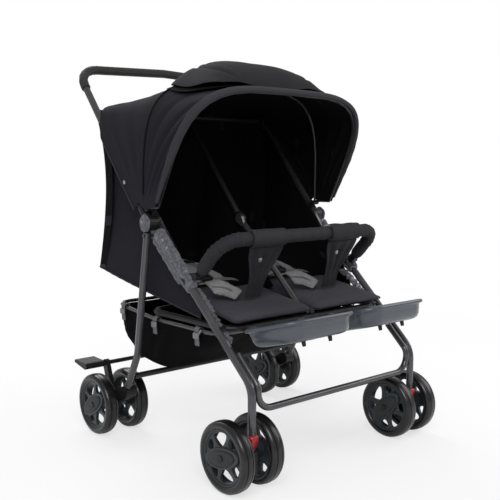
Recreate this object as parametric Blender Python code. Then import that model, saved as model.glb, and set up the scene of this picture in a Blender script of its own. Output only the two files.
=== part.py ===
"""A side-by-side double stroller, modelled in metres.

+Z is up, the floor is at z = 0 and the children face -Y. Heights are measured
from the floor. Fore and aft places are measured from the main hinge: AHEAD is
towards the children's feet and BEHIND is towards the person who pushes.
"""
import math

import bmesh
import bpy
from mathutils import Matrix, Vector, geometry

# Main hinge, where the handle, the front legs and the rear legs meet
HINGE_Y = 0.040
HINGE_Z = 0.585
HINGE_PIN_RADIUS = 0.005
HINGE_DISC_RADIUS = 0.019
HINGE_PLATE_THICKNESS = 0.0076
PLATE_ON_LEG = 0.054
KNUCKLE_INNER_DEPTH = 0.019
GAP = 0.0004

# Frame tubes
LEG_RADIUS = 0.0095
CROSS_RADIUS = 0.008
TUBE_SIDES = 12

# Handle
HANDLE_HALF_WIDTH = 0.300
HANDLE_RISE = 0.414
HANDLE_REACH = 0.353
HANDLE_CORNER_RADIUS = 0.066
HANDLE_BAR_BOW = 0.016
GRIP_RADIUS = 0.0125
GRIP_ON_ARM = 0.075
KNUCKLE_SLEEVE_LENGTH = 0.050
KNUCKLE_SLEEVE_WALL = 0.0018
UPPER_CROSS_ALONG_HANDLE = 0.380
CENTRE_HINGE_RADIUS = 0.0135
CENTRE_TUBE_START = 0.019
CENTRE_TUBE_BEND_RADIUS = 0.040

# Front legs and casters
LEG_SLOPE_AHEAD = 0.328
LEG_SLOPE_DROP = 0.305
SWIVEL_AHEAD = 0.372
SWIVEL_HALF_WIDTH = 0.2825
LEG_BEND_RADIUS = 0.060
LEG_START = 0.044
LEG_FOOT_Z = 0.0975
SWIVEL_PIN_RADIUS = 0.005
SWIVEL_PIN_FOOT_Z = 0.058
CASTER_TRAIL = 0.035
CASTER_HALF_WIDTH = 0.016
CASTER_COLUMN_FOOT_Z = 0.046
LOCK_HEIGHT = 0.034
LOCK_RADIUS = 0.0138
FRONT_CROSS_Z = 0.184
FRONT_CROSS_ARM_TOP_Z = 0.226
FRONT_CROSS_BEND_RADIUS = 0.022

# Rear legs
REAR_PIVOT_BEHIND = 0.011
REAR_PIVOT_DROP = 0.0325
REAR_PIVOT_PIN_RADIUS = 0.004
REAR_LEG_KNEE_BEHIND = 0.064
REAR_LEG_KNEE_Z = 0.235
REAR_LEG_FOOT_BEHIND = 0.120
REAR_LEG_FOOT_Z = 0.128
REAR_LEG_BEND_RADIUS = 0.090
REAR_CROSS_Z = 0.170
REAR_AXLE_BEHIND = 0.199
REAR_WHEEL_INSIDE_LEG = 0.0052

# Wheels
WHEEL_RADIUS = 0.0825
TYRE_WIDTH = 0.038
TYRE_INNER_RADIUS = 0.064
TYRE_SIDES = 22
FRONT_WHEEL_SPREAD = 0.0431
REAR_WHEEL_SPREAD = 0.0471
AXLE_RADIUS = 0.005
AXLE_CAP_RADIUS = 0.008
AXLE_CAP_LENGTH = 0.003
HUB_BOSS_RADIUS = 0.026
HUB_RIM_WIDTH = 0.030
HUB_WEB_THICKNESS = 0.013
HUB_OPENINGS = 6

# Brake
BRAKE_BAR_RADIUS = 0.006
BRAKE_BEHIND_AXLE = 0.034
BRAKE_Z = 0.182
PEDAL_LENGTH = 0.052
PEDAL_WIDTH = 0.058
PEDAL_THICKNESS = 0.009

# Seat frame, seats and backs
SEAT_FRAME_Z = 0.350
SEAT_FRAME_HALF_WIDTH = 0.262
SEAT_FRAME_AHEAD = 0.272
SEAT_FRAME_BEHIND = 0.060
HANGER_AHEAD = 0.150
LOOP_REACH = 0.108
LOOP_HALF_WIDTH = 0.0045
LOOP_WIRE_RADIUS = 0.0018
LOOP_DROP = 0.012
HANGER_BEHIND = 0.020
SEAT_INNER_X = 0.016
SEAT_OUTER_X = 0.254
SEAT_AHEAD = 0.289
SEAT_REAR_AHEAD = 0.066
SEAT_TOP_Z = 0.414
CREASE_AHEAD = 0.052
CREASE_Z = 0.402
BACK_REST_ANGLE = math.radians(12)
BACK_LENGTH = 0.296
BACK_THICKNESS = 0.022
BACK_INNER_X = 0.022
PAD_THICKNESS = 0.014
PAD_MARGIN = 0.016

# Leg-rest trays
TRAY_WIDTH = 0.243
TRAY_LENGTH = 0.164
TRAY_DEPTH = 0.044
TRAY_LIP = 0.015
TRAY_LIP_THICKNESS = 0.005
TRAY_WALL = 0.003
TRAY_REST_TILT = math.radians(15)
TRAY_HINGE_AHEAD = 0.292
TRAY_HINGE_Z = 0.347
TRAY_ROD_RADIUS = 0.004
TRAY_KNUCKLE_RADIUS = 0.0075
TRAY_KNUCKLE_WIDTH = 0.022
TRAY_KNUCKLE_OFFSET = 0.078
TRAY_HINGE_CLEARANCE = 0.006

# Bumper bar
BUMPER_RADIUS = 0.0175
BUMPER_AHEAD = 0.255
BUMPER_Z = 0.556
BUMPER_INSIDE_HANDLE = 0.027
BUMPER_PIVOT_AHEAD = 0.168
BUMPER_PIVOT_Z = 0.466
BUMPER_BEND_RADIUS = 0.055
BUMPER_ARM_THICKNESS = 0.007
CROTCH_TOP_WIDTH = 0.108
CROTCH_FOOT_WIDTH = 0.064
CLOTH = 0.003

# Canopy
BOW_RADIUS = 0.0034
BOW_PIVOT_ALONG_HANDLE = 0.030
BOW_PIVOT_OFF_HANDLE = 0.021
BOW_PIN_RADIUS = 0.0025
FRONT_BOW_OUTSIDE_HANDLE = 0.0047
MID_BOW_INSIDE_HANDLE = 0.0040
FRONT_BOW_STUB = 0.052
FRONT_BOW_TOP_AHEAD = 0.196
FRONT_BOW_TOP_Z = 0.908
MID_BOW_TOP_AHEAD = 0.006
MID_BOW_TOP_Z = 0.940
BOW_SQUARENESS = 4.2
CANOPY_OUTSIDE_HANDLE = 0.0155
CANOPY_REAR_ALONG_HANDLE = 0.401
CANOPY_SIDE_START = 0.055
CANOPY_SEAM_GAP = 0.0008
SCOOP_TOP_Z = 1.000
SCOOP_HALF_WIDTH = 0.205
SCOOP_LIFT = 0.0065

# Basket
BASKET_RIM_RADIUS = 0.005
BASKET_RIM_Z = 0.331
BASKET_REAR_RIM_Z = 0.350
BASKET_HALF_WIDTH = 0.265
BASKET_FLARE = 0.021
BASKET_CORNER = 0.045
BASKET_KINK_BEHIND = 0.030
BASKET_AHEAD = 0.226
BASKET_BEHIND = 0.226
BASKET_FLOOR_Z = 0.226
BASKET_FLOOR_AHEAD = 0.095
BASKET_FLOOR_BEHIND = 0.135

# Hanging side and head-end cloth
ENCLOSURE_PLATE_CLEARANCE = 0.0016
ENCLOSURE_HANDLE_CLEARANCE = 0.003
ENCLOSURE_SLACK = 0.038
ENCLOSURE_BEHIND_TUBE = 0.007
ENCLOSURE_FOLDS = 5
ENCLOSURE_FOLD_DEPTH = 0.0055

# Cloth between the seats
DIVIDER_AHEAD = 0.135
DIVIDER_ABOVE_SEAT = 0.008
DIVIDER_ALONG_HANDLE = 0.262
DIVIDER_REAR_RISE = 0.060

SIDES = {"right": -1, "left": 1}


def clear_scene():
    for obj in list(bpy.data.objects):
        bpy.data.objects.remove(obj, do_unlink=True)


def make_material(name, colour, roughness, metallic=0.0):
    material = bpy.data.materials.new(name)
    material.use_nodes = True
    shader = material.node_tree.nodes["Principled BSDF"]
    shader.inputs["Base Color"].default_value = (*colour, 1)
    shader.inputs["Roughness"].default_value = roughness
    shader.inputs["Metallic"].default_value = metallic
    material.diffuse_color = (*colour, 1)
    return material


FINISHES = {
    "graphite": ((0.105, 0.105, 0.115), 0.38, 0.6),
    "foam": ((0.022, 0.022, 0.024), 0.85, 0.0),
    "black plastic": ((0.024, 0.024, 0.027), 0.5, 0.0),
    "hub plastic": ((0.055, 0.055, 0.062), 0.45, 0.0),
    "tyre": ((0.014, 0.014, 0.015), 0.8, 0.0),
    "red plastic": ((0.62, 0.015, 0.012), 0.35, 0.0),
    "tray plastic": ((0.085, 0.100, 0.125), 0.42, 0.0),
    "black cloth": ((0.012, 0.012, 0.016), 0.85, 0.0),
    "grey cloth": ((0.235, 0.235, 0.265), 0.9, 0.0),
}


def behind(distance):
    """The Y of a place this far behind the main hinge."""
    return HINGE_Y + distance


def ahead(distance):
    """The Y of a place this far ahead of the main hinge."""
    return HINGE_Y - distance


def finish(bm, name, kind):
    """Turns a bmesh into a named object with its own material."""
    bmesh.ops.remove_doubles(bm, verts=bm.verts, dist=1e-7)
    bmesh.ops.recalc_face_normals(bm, faces=bm.faces)
    mesh = bpy.data.meshes.new(name)
    bm.to_mesh(mesh)
    bm.free()
    mesh.materials.append(make_material(name, *FINISHES[kind]))
    mesh.shade_smooth()
    mesh.set_sharp_from_angle(angle=math.radians(35))
    obj = bpy.data.objects.new(name, mesh)
    bpy.context.scene.collection.objects.link(obj)
    return obj


def loft(rings, closed=False):
    """Bridges rings of equally many points. An open loft gets a cap at each end."""
    bm = bmesh.new()
    rows = [[bm.verts.new(p) for p in ring] for ring in rings]
    count = len(rows[0])
    pairs = list(zip(rows, rows[1:])) + ([(rows[-1], rows[0])] if closed else [])
    for one, other in pairs:
        for i in range(count):
            j = (i + 1) % count
            bm.faces.new((one[i], one[j], other[j], other[i]))
    if not closed:
        bm.faces.new(rows[0])
        bm.faces.new(list(reversed(rows[-1])))
    return bm


def skin(outer, inner):
    """A closed sheet between two grids of points of the same size."""
    bm = bmesh.new()
    grids = [[[bm.verts.new(p) for p in row] for row in grid] for grid in (outer, inner)]
    rows, columns = len(outer), len(outer[0])
    for grid in grids:
        for i in range(rows - 1):
            for j in range(columns - 1):
                bm.faces.new((grid[i][j], grid[i][j + 1], grid[i + 1][j + 1], grid[i + 1][j]))
    rim = [(0, j) for j in range(columns)] + [(i, columns - 1) for i in range(1, rows)]
    rim += [(rows - 1, j) for j in range(columns - 2, -1, -1)]
    rim += [(i, 0) for i in range(rows - 2, 0, -1)]
    for (a, b), (c, d) in zip(rim, rim[1:] + rim[:1]):
        bm.faces.new((grids[0][a][b], grids[0][c][d], grids[1][c][d], grids[1][a][b]))
    return bm


def rounded_path(points, radius, steps=6):
    """A path whose inner corners are arcs."""
    path = [Vector(points[0])]
    for before, corner, after in zip(points, points[1:], points[2:]):
        corner = Vector(corner)
        back, on = (Vector(before) - corner).normalized(), (Vector(after) - corner).normalized()
        half = back.angle(on) / 2
        centre = corner + (back + on).normalized() * (radius / math.sin(half))
        start = corner + back * (radius / math.tan(half)) - centre
        end = corner + on * (radius / math.tan(half)) - centre
        turn = start.angle(end)
        for i in range(steps + 1):
            t = i / steps
            mix = start * math.sin((1 - t) * turn) + end * math.sin(t * turn)
            path.append(centre + mix / math.sin(turn))
    path.append(Vector(points[-1]))
    return path


def ring_round(centre, along, side, radius, sides):
    up = along.cross(side).normalized()
    side = up.cross(along).normalized()
    angles = [2 * math.pi * (i + 0.5) / sides for i in range(sides)]
    return [centre + (side * math.cos(a) + up * math.sin(a)) * radius for a in angles]


def frames_along(path):
    """Each point of a path with its direction and a side vector that never twists."""
    directions = [(b - a).normalized() for a, b in zip(path, path[1:])]
    ends = [directions[0]] + [(a + b).normalized() for a, b in zip(directions, directions[1:])]
    ends.append(directions[-1])
    side = ends[0].orthogonal().normalized()
    frames = []
    for point, along in zip(path, ends):
        side = (side - along * side.dot(along)).normalized()
        frames.append((point, along, side))
    return frames


def tube_mesh(path, radius, sides=TUBE_SIDES):
    path = [Vector(p) for p in path]
    return loft([ring_round(*frame, radius, sides) for frame in frames_along(path)])


def sleeve_mesh(path, outer, inner, sides=TUBE_SIDES):
    """A tube with a bore right through it."""
    frames = frames_along([Vector(p) for p in path])
    outside = [ring_round(*frame, outer, sides) for frame in frames]
    inside = [ring_round(*frame, inner, sides) for frame in reversed(frames)]
    return loft(outside + inside, closed=True)


def bore(radius, sides=TUBE_SIDES, gap=GAP):
    """The corner radius of a faceted bore that clears a pin of this radius."""
    return (radius + gap) / math.cos(math.pi / sides)


def rod_mesh(start, end, radius, sides=TUBE_SIDES):
    return tube_mesh([start, end], radius, sides)


def prism_mesh(outline, x0, x1):
    """An outline of (y, z) points, extruded along X."""
    return loft([[Vector((x, y, z)) for y, z in outline] for x in (x0, x1)])


def outline_round(circles, sides=14):
    """The taut outline round circles given as (y, z, radius)."""
    angles = [2 * math.pi * i / sides for i in range(sides)]
    points = [
        Vector((y + r * math.cos(a), z + r * math.sin(a))) for y, z, r in circles for a in angles
    ]
    return [tuple(points[i]) for i in geometry.convex_hull_2d(points)]


def box_mesh(low, high):
    x0, y0, z0 = low
    x1, y1, z1 = high
    return prism_mesh([(y0, z0), (y1, z0), (y1, z1), (y0, z1)], x0, x1)


def combine(obj, bm, operation):
    """Joins a shape to an object, or cuts it out, and keeps one closed body."""
    bmesh.ops.recalc_face_normals(bm, faces=bm.faces)
    mesh = bpy.data.meshes.new("tool")
    bm.to_mesh(mesh)
    bm.free()
    tool = bpy.data.objects.new("tool", mesh)
    bpy.context.scene.collection.objects.link(tool)
    modifier = obj.modifiers.new(operation, "BOOLEAN")
    modifier.operation = operation
    modifier.object = tool
    depsgraph = bpy.context.evaluated_depsgraph_get()
    result = bpy.data.meshes.new_from_object(obj.evaluated_get(depsgraph))
    obj.modifiers.clear()
    old = obj.data
    obj.data = result
    bpy.data.meshes.remove(old)
    bpy.data.objects.remove(tool, do_unlink=True)
    bpy.data.meshes.remove(mesh)


def union(obj, bm):
    combine(obj, bm, "UNION")


def cut(obj, bm):
    combine(obj, bm, "DIFFERENCE")


def rounded_rectangle(half_x, half_y, radius, steps=3):
    points = []
    for quarter, (sx, sy) in enumerate(((1, 1), (-1, 1), (-1, -1), (1, -1))):
        for i in range(steps + 1):
            a = math.pi / 2 * (quarter + i / steps)
            x = sx * (half_x - radius) + radius * math.cos(a)
            y = sy * (half_y - radius) + radius * math.sin(a)
            points.append((x, y))
    return points


def cushion_mesh(centre, size, crown, edge, corner):
    """A cushion with a crown on top and drawn-in sides. size is along X, Y and Z."""
    cx, cy, cz = centre
    hx, hy, hz = (s / 2 for s in size)
    levels = (
        (-hz, edge),
        (-hz + edge, edge * 0.25),
        (0.0, edge * 0.6),
        (hz - edge, edge * 0.25),
        (hz, edge),
        (hz + crown * 0.6, edge * 2.4),
        (hz + crown, min(hx, hy) * 0.55),
    )
    rings = []
    for z, inset in levels:
        outline = rounded_rectangle(hx - inset, hy - inset, min(corner, (min(hx, hy) - inset) * 0.9))
        rings.append([Vector((cx + x, cy + y, cz + z)) for x, y in outline])
    return loft(rings)


def tilted(bm, origin, angle):
    """Turns a shape made about the origin by an angle about X, then moves it there."""
    bm.transform(Matrix.Translation(origin) @ Matrix.Rotation(angle, 4, "X"))
    return bm


def add_body(name, pivot, parent=None):
    """An empty on a joint's axis, which carries the pieces that move with it."""
    empty = bpy.data.objects.new(name, None)
    bpy.context.scene.collection.objects.link(empty)
    empty.location = pivot
    if parent:
        empty.parent = parent
        empty.location = Vector(pivot) - parent.matrix_world.translation
    bpy.context.view_layer.update()
    return empty


def carry(body, *pieces):
    for piece in pieces:
        piece.parent = body
        piece.matrix_parent_inverse = Matrix.Translation(-body.matrix_world.translation)


HANDLE_LENGTH = math.hypot(HANDLE_REACH, HANDLE_RISE)
HANDLE_DIRECTION = Vector((0, HANDLE_REACH, HANDLE_RISE)) / HANDLE_LENGTH
HANDLE_FORWARD = Vector((0, -HANDLE_RISE, HANDLE_REACH)) / HANDLE_LENGTH
LEG_DIRECTION = Vector((0, -LEG_SLOPE_AHEAD, -LEG_SLOPE_DROP)).normalized()
HINGE = Vector((0, HINGE_Y, HINGE_Z))
REAR_PIVOT = HINGE + Vector((0, REAR_PIVOT_BEHIND, -REAR_PIVOT_DROP))
SWIVEL_Y = ahead(SWIVEL_AHEAD)
FRONT_AXLE_Y = SWIVEL_Y + CASTER_TRAIL
REAR_AXLE_Y = behind(REAR_AXLE_BEHIND)
BRAKE_Y = REAR_AXLE_Y + BRAKE_BEHIND_AXLE
PLATE_OUTER_X = HANDLE_HALF_WIDTH - KNUCKLE_INNER_DEPTH - GAP
HINGE_PLATE_INNER_X = PLATE_OUTER_X - HINGE_PLATE_THICKNESS
REAR_WHEEL_X = HANDLE_HALF_WIDTH - REAR_WHEEL_INSIDE_LEG
BUMPER_HALF_WIDTH = HANDLE_HALF_WIDTH - BUMPER_INSIDE_HANDLE
FRONT_BOW_X = HANDLE_HALF_WIDTH + FRONT_BOW_OUTSIDE_HANDLE
MID_BOW_X = HANDLE_HALF_WIDTH - MID_BOW_INSIDE_HANDLE
CANOPY_HALF_WIDTH = HANDLE_HALF_WIDTH + CANOPY_OUTSIDE_HANDLE
ENCLOSURE_FRONT_HALF_WIDTH = HINGE_PLATE_INNER_X - ENCLOSURE_PLATE_CLEARANCE
ENCLOSURE_REAR_HALF_WIDTH = HANDLE_HALF_WIDTH - LEG_RADIUS - ENCLOSURE_HANDLE_CLEARANCE
LEG_TOP_X = PLATE_OUTER_X + GAP + LEG_RADIUS
LEG_TOP = HINGE + LEG_DIRECTION * LEG_START
LEG_KNEE_Z = HINGE_Z - SWIVEL_AHEAD * LEG_SLOPE_DROP / LEG_SLOPE_AHEAD
KNUCKLE_OUTER_X = HANDLE_HALF_WIDTH + LEG_RADIUS + KNUCKLE_SLEEVE_WALL
BOW_PIVOT = HINGE + HANDLE_DIRECTION * BOW_PIVOT_ALONG_HANDLE + HANDLE_FORWARD * BOW_PIVOT_OFF_HANDLE


def along_handle(x, distance):
    return HINGE + HANDLE_DIRECTION * distance + Vector((x, 0, 0))


def handle_path():
    corner = HANDLE_LENGTH
    middle = corner + HANDLE_BAR_BOW
    start = HINGE_DISC_RADIUS + 0.006
    w = HANDLE_HALF_WIDTH
    points = [along_handle(-w, start), along_handle(-w, corner), along_handle(0, middle)]
    points += [along_handle(w, corner), along_handle(w, start)]
    left = rounded_path(points[:3], HANDLE_CORNER_RADIUS, 6)
    right = rounded_path(points[2:], HANDLE_CORNER_RADIUS, 6)
    return left + right[1:]


def make_handle():
    path = handle_path()
    tube = finish(tube_mesh(path, LEG_RADIUS), "handle_tube", "graphite")
    end = HANDLE_LENGTH - GRIP_ON_ARM
    grip = [along_handle(-HANDLE_HALF_WIDTH, end)] + path[1:-1]
    grip.append(along_handle(HANDLE_HALF_WIDTH, end))
    sleeve = finish(sleeve_mesh(grip, GRIP_RADIUS, bore(LEG_RADIUS, 10), 10), "handle_grip", "foam")
    return [tube, sleeve]


def make_knuckle(side, sign):
    """The hub on the main hinge pin, with the socket of the handle tube and the bows' ear."""
    inner = PLATE_OUTER_X + GAP
    centre = Vector((sign * inner, HINGE_Y, HINGE_Z))
    outer = Vector((sign * KNUCKLE_OUTER_X, HINGE_Y, HINGE_Z))
    knuckle = finish(
        rod_mesh(centre, outer, HINGE_DISC_RADIUS, 16), f"handle_knuckle_{side}", "black plastic"
    )
    x = sign * HANDLE_HALF_WIDTH
    sleeve_outer = LEG_RADIUS + KNUCKLE_SLEEVE_WALL
    union(knuckle, rod_mesh(along_handle(x, 0.006), along_handle(x, KNUCKLE_SLEEVE_LENGTH), sleeve_outer))
    ear_outer = MID_BOW_X - BOW_RADIUS - GAP
    ear_inner = ear_outer - 0.006
    ear = outline_round(
        [
            (BOW_PIVOT.y, BOW_PIVOT.z, 0.0065),
            (along_handle(0, BOW_PIVOT_ALONG_HANDLE).y, along_handle(0, BOW_PIVOT_ALONG_HANDLE).z, 0.008),
        ]
    )
    union(knuckle, prism_mesh(ear, sign * ear_inner, sign * ear_outer))
    pin_end = FRONT_BOW_X + BOW_RADIUS + 0.002
    union(
        knuckle,
        rod_mesh(
            BOW_PIVOT + Vector((sign * (ear_outer - 0.003), 0, 0)),
            BOW_PIVOT + Vector((sign * pin_end, 0, 0)),
            BOW_PIN_RADIUS,
            8,
        ),
    )
    tube_seat = HINGE_DISC_RADIUS + 0.006 - GAP
    cut(
        knuckle,
        rod_mesh(along_handle(x, tube_seat), along_handle(x, KNUCKLE_SLEEVE_LENGTH + 0.01), bore(LEG_RADIUS)),
    )
    cut(
        knuckle,
        rod_mesh(
            centre - Vector((sign * 0.01, 0, 0)),
            outer + Vector((sign * 0.01, 0, 0)),
            bore(HINGE_PIN_RADIUS),
        ),
    )
    return knuckle


def make_hinge_plate(side, sign):
    """The frame's plate at the main hinge, with the pins of the handle and the rear leg."""
    leg_seat = HINGE + LEG_DIRECTION * PLATE_ON_LEG
    outline = outline_round(
        [
            (HINGE.y, HINGE.z, HINGE_DISC_RADIUS),
            (REAR_PIVOT.y, REAR_PIVOT.z, 0.012),
            (leg_seat.y, leg_seat.z, 0.011),
        ]
    )
    plate = finish(
        prism_mesh(outline, sign * HINGE_PLATE_INNER_X, sign * PLATE_OUTER_X),
        f"hinge_plate_{side}",
        "graphite",
    )
    inside = PLATE_OUTER_X - 0.003
    reach = Vector((sign * (KNUCKLE_OUTER_X + 0.003), 0, 0))
    union(plate, rod_mesh(HINGE + Vector((sign * inside, 0, 0)), HINGE + reach, HINGE_PIN_RADIUS))
    rear_reach = Vector((sign * (HANDLE_HALF_WIDTH + LEG_RADIUS + 0.003), 0, 0))
    union(
        plate,
        rod_mesh(REAR_PIVOT + Vector((sign * inside, 0, 0)), REAR_PIVOT + rear_reach, REAR_PIVOT_PIN_RADIUS),
    )
    return plate


def make_front_leg(side, sign):
    points = [
        (sign * LEG_TOP_X, LEG_TOP.y, LEG_TOP.z),
        (sign * SWIVEL_HALF_WIDTH, SWIVEL_Y, LEG_KNEE_Z),
        (sign * SWIVEL_HALF_WIDTH, SWIVEL_Y, LEG_FOOT_Z),
    ]
    leg = finish(tube_mesh(rounded_path(points, LEG_BEND_RADIUS), LEG_RADIUS), f"front_leg_{side}", "graphite")
    foot = Vector((sign * SWIVEL_HALF_WIDTH, SWIVEL_Y, LEG_FOOT_Z + 0.01))
    pin_foot = Vector((sign * SWIVEL_HALF_WIDTH, SWIVEL_Y, SWIVEL_PIN_FOOT_Z))
    union(leg, rod_mesh(foot, pin_foot, SWIVEL_PIN_RADIUS))
    return leg


def front_leg_y(z):
    """Where the sloping part of a front leg is at a height."""
    return HINGE_Y - (HINGE_Z - z) * LEG_SLOPE_AHEAD / LEG_SLOPE_DROP


def make_front_cross_tube():
    """A tube that turns up inside both front legs and lies against them."""
    arm_x = SWIVEL_HALF_WIDTH - LEG_RADIUS - GAP - CROSS_RADIUS
    y = SWIVEL_Y + 0.002
    points = [
        (-arm_x, y, FRONT_CROSS_ARM_TOP_Z),
        (-arm_x, y, FRONT_CROSS_Z),
        (arm_x, y, FRONT_CROSS_Z),
        (arm_x, y, FRONT_CROSS_ARM_TOP_Z),
    ]
    path = rounded_path(points, FRONT_CROSS_BEND_RADIUS, 5)
    return finish(tube_mesh(path, CROSS_RADIUS), "front_cross_tube", "graphite")


def make_rear_leg(side, sign):
    x = sign * HANDLE_HALF_WIDTH
    direction = Vector((0, behind(REAR_LEG_KNEE_BEHIND) - REAR_PIVOT.y, REAR_LEG_KNEE_Z - REAR_PIVOT.z))
    top = REAR_PIVOT - direction.normalized() * 0.008 + Vector((x, 0, 0))
    points = [
        top,
        (x, behind(REAR_LEG_KNEE_BEHIND), REAR_LEG_KNEE_Z),
        (x, behind(REAR_LEG_FOOT_BEHIND), REAR_LEG_FOOT_Z),
    ]
    leg = finish(tube_mesh(rounded_path(points, REAR_LEG_BEND_RADIUS), LEG_RADIUS), f"rear_leg_{side}", "graphite")
    across = Vector((0.02, 0, 0))
    pivot = REAR_PIVOT + Vector((x, 0, 0))
    cut(leg, rod_mesh(pivot - across, pivot + across, bore(REAR_PIVOT_PIN_RADIUS)))
    return leg


def rear_leg_y(z):
    """Where the lower part of a rear leg is at a height, below its knee."""
    share = (REAR_LEG_KNEE_Z - z) / (REAR_LEG_KNEE_Z - REAR_LEG_FOOT_Z)
    return behind(REAR_LEG_KNEE_BEHIND + share * (REAR_LEG_FOOT_BEHIND - REAR_LEG_KNEE_BEHIND))


def make_rear_cross_tube():
    x = HANDLE_HALF_WIDTH - LEG_RADIUS - GAP
    y = rear_leg_y(REAR_CROSS_Z)
    start, end = Vector((-x, y, REAR_CROSS_Z)), Vector((x, y, REAR_CROSS_Z))
    return finish(rod_mesh(start, end, CROSS_RADIUS), "rear_cross_tube", "graphite")


def axle_mesh(x, y, z, half_length):
    start, end = Vector((x - half_length, y, z)), Vector((x + half_length, y, z))
    return rod_mesh(start, end, AXLE_RADIUS, 8)


def add_axle(carrier, x, y, z, wheel_spread):
    """An axle through a bracket, with a cap outside each wheel."""
    reach = wheel_spread + TYRE_WIDTH / 2
    union(carrier, axle_mesh(x, y, z, reach + AXLE_CAP_LENGTH - GAP))
    for sign in (-1, 1):
        start = Vector((x + sign * (reach + GAP), y, z))
        end = Vector((x + sign * (reach + GAP + AXLE_CAP_LENGTH), y, z))
        union(carrier, rod_mesh(start, end, AXLE_CAP_RADIUS, 10))


def make_caster(side, sign):
    """The swivelling fork: a round column on the leg's pin and an arm back to the axle."""
    x = sign * SWIVEL_HALF_WIDTH
    top = Vector((x, SWIVEL_Y, LEG_FOOT_Z - GAP))
    fork = finish(
        rod_mesh(Vector((x, SWIVEL_Y, CASTER_COLUMN_FOOT_Z)), top, CASTER_HALF_WIDTH, 16),
        f"caster_fork_{side}",
        "black plastic",
    )
    arm = outline_round([(SWIVEL_Y, 0.068, 0.0135), (FRONT_AXLE_Y, WHEEL_RADIUS, 0.012)])
    union(fork, prism_mesh(arm, x - 0.013, x + 0.013))
    add_axle(fork, x, FRONT_AXLE_Y, WHEEL_RADIUS, FRONT_WHEEL_SPREAD)
    pin_seat = Vector((x, SWIVEL_Y, SWIVEL_PIN_FOOT_Z - 0.001))
    cut(fork, rod_mesh(pin_seat, top + Vector((0, 0, 0.01)), bore(SWIVEL_PIN_RADIUS)))
    return fork


def make_swivel_lock(side, sign):
    """A red collar on the leg's foot that slides up to free the caster."""
    x = sign * SWIVEL_HALF_WIDTH
    foot = LEG_FOOT_Z + 0.0003
    path = [(x, SWIVEL_Y, foot), (x, SWIVEL_Y, foot + LOCK_HEIGHT)]
    lock = sleeve_mesh(path, LOCK_RADIUS, bore(LEG_RADIUS), 16)
    return finish(lock, f"swivel_lock_{side}", "red plastic")


def make_rear_bracket(side, sign):
    """Holds a rear leg's foot, the axle and the brake bar."""
    x = sign * REAR_WHEEL_X
    foot_y = behind(REAR_LEG_FOOT_BEHIND)
    outline = outline_round(
        [(foot_y, REAR_LEG_FOOT_Z - 0.004, 0.017), (REAR_AXLE_Y, WHEEL_RADIUS, 0.014)]
    )
    bracket = finish(prism_mesh(outline, x - 0.016, x + 0.016), f"rear_bracket_{side}", "black plastic")
    ear = outline_round([(REAR_AXLE_Y, WHEEL_RADIUS, 0.012), (BRAKE_Y, BRAKE_Z, 0.0105)])
    union(bracket, prism_mesh(ear, x - 0.006, x + 0.006))
    add_axle(bracket, x, REAR_AXLE_Y, WHEEL_RADIUS, REAR_WHEEL_SPREAD)
    across = Vector((0.05, 0, 0))
    bar = Vector((x, BRAKE_Y, BRAKE_Z))
    cut(bracket, rod_mesh(bar - across, bar + across, bore(BRAKE_BAR_RADIUS)))
    leg_x = sign * HANDLE_HALF_WIDTH
    foot = Vector((leg_x, foot_y, REAR_LEG_FOOT_Z))
    knee = Vector((leg_x, behind(REAR_LEG_KNEE_BEHIND), REAR_LEG_KNEE_Z))
    down = (foot - knee).normalized()
    cut(bracket, rod_mesh(foot - down * 0.05, foot + down * GAP, bore(LEG_RADIUS)))
    return bracket


def hub_opening(angle, width):
    """A rounded three-sided opening between two spokes."""
    middle = (HUB_BOSS_RADIUS + TYRE_INNER_RADIUS) / 2
    corners = [
        (HUB_BOSS_RADIUS + 0.003, 0.0),
        (middle, width * 0.75),
        (TYRE_INNER_RADIUS - 0.010, width),
        (TYRE_INNER_RADIUS - 0.010, -width),
        (middle, -width * 0.75),
    ]
    c, s = math.cos(angle), math.sin(angle)
    return [(r * c - t * s, r * s + t * c) for r, t in corners]


def make_hub_mesh():
    """A moulded wheel: boss, dished web with openings, and rim. Its axle is along X."""
    half = TYRE_WIDTH / 2 - 0.0006
    rim, web = HUB_RIM_WIDTH / 2, HUB_WEB_THICKNESS / 2
    profile = [
        (bore(AXLE_RADIUS), -half),
        (HUB_BOSS_RADIUS * 0.8, -half),
        (HUB_BOSS_RADIUS, -web),
        (TYRE_INNER_RADIUS - 0.004, -web),
        (TYRE_INNER_RADIUS - GAP, -rim),
        (TYRE_INNER_RADIUS - GAP, rim),
        (TYRE_INNER_RADIUS - 0.004, web),
        (HUB_BOSS_RADIUS, web),
        (HUB_BOSS_RADIUS * 0.8, half),
        (bore(AXLE_RADIUS), half),
    ]
    steps = 16
    rings = []
    for i in range(steps):
        a = 2 * math.pi * (i + 0.5) / steps
        rings.append([Vector((x, r * math.cos(a), r * math.sin(a))) for r, x in profile])
    hub = finish(loft(rings, closed=True), "hub", "hub plastic")
    for k in range(HUB_OPENINGS):
        width = 0.0155 if k % 2 else 0.0115
        outline = hub_opening(2 * math.pi * k / HUB_OPENINGS, width)
        cut(hub, prism_mesh(outline, -TYRE_WIDTH, TYRE_WIDTH))
    return hub


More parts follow.
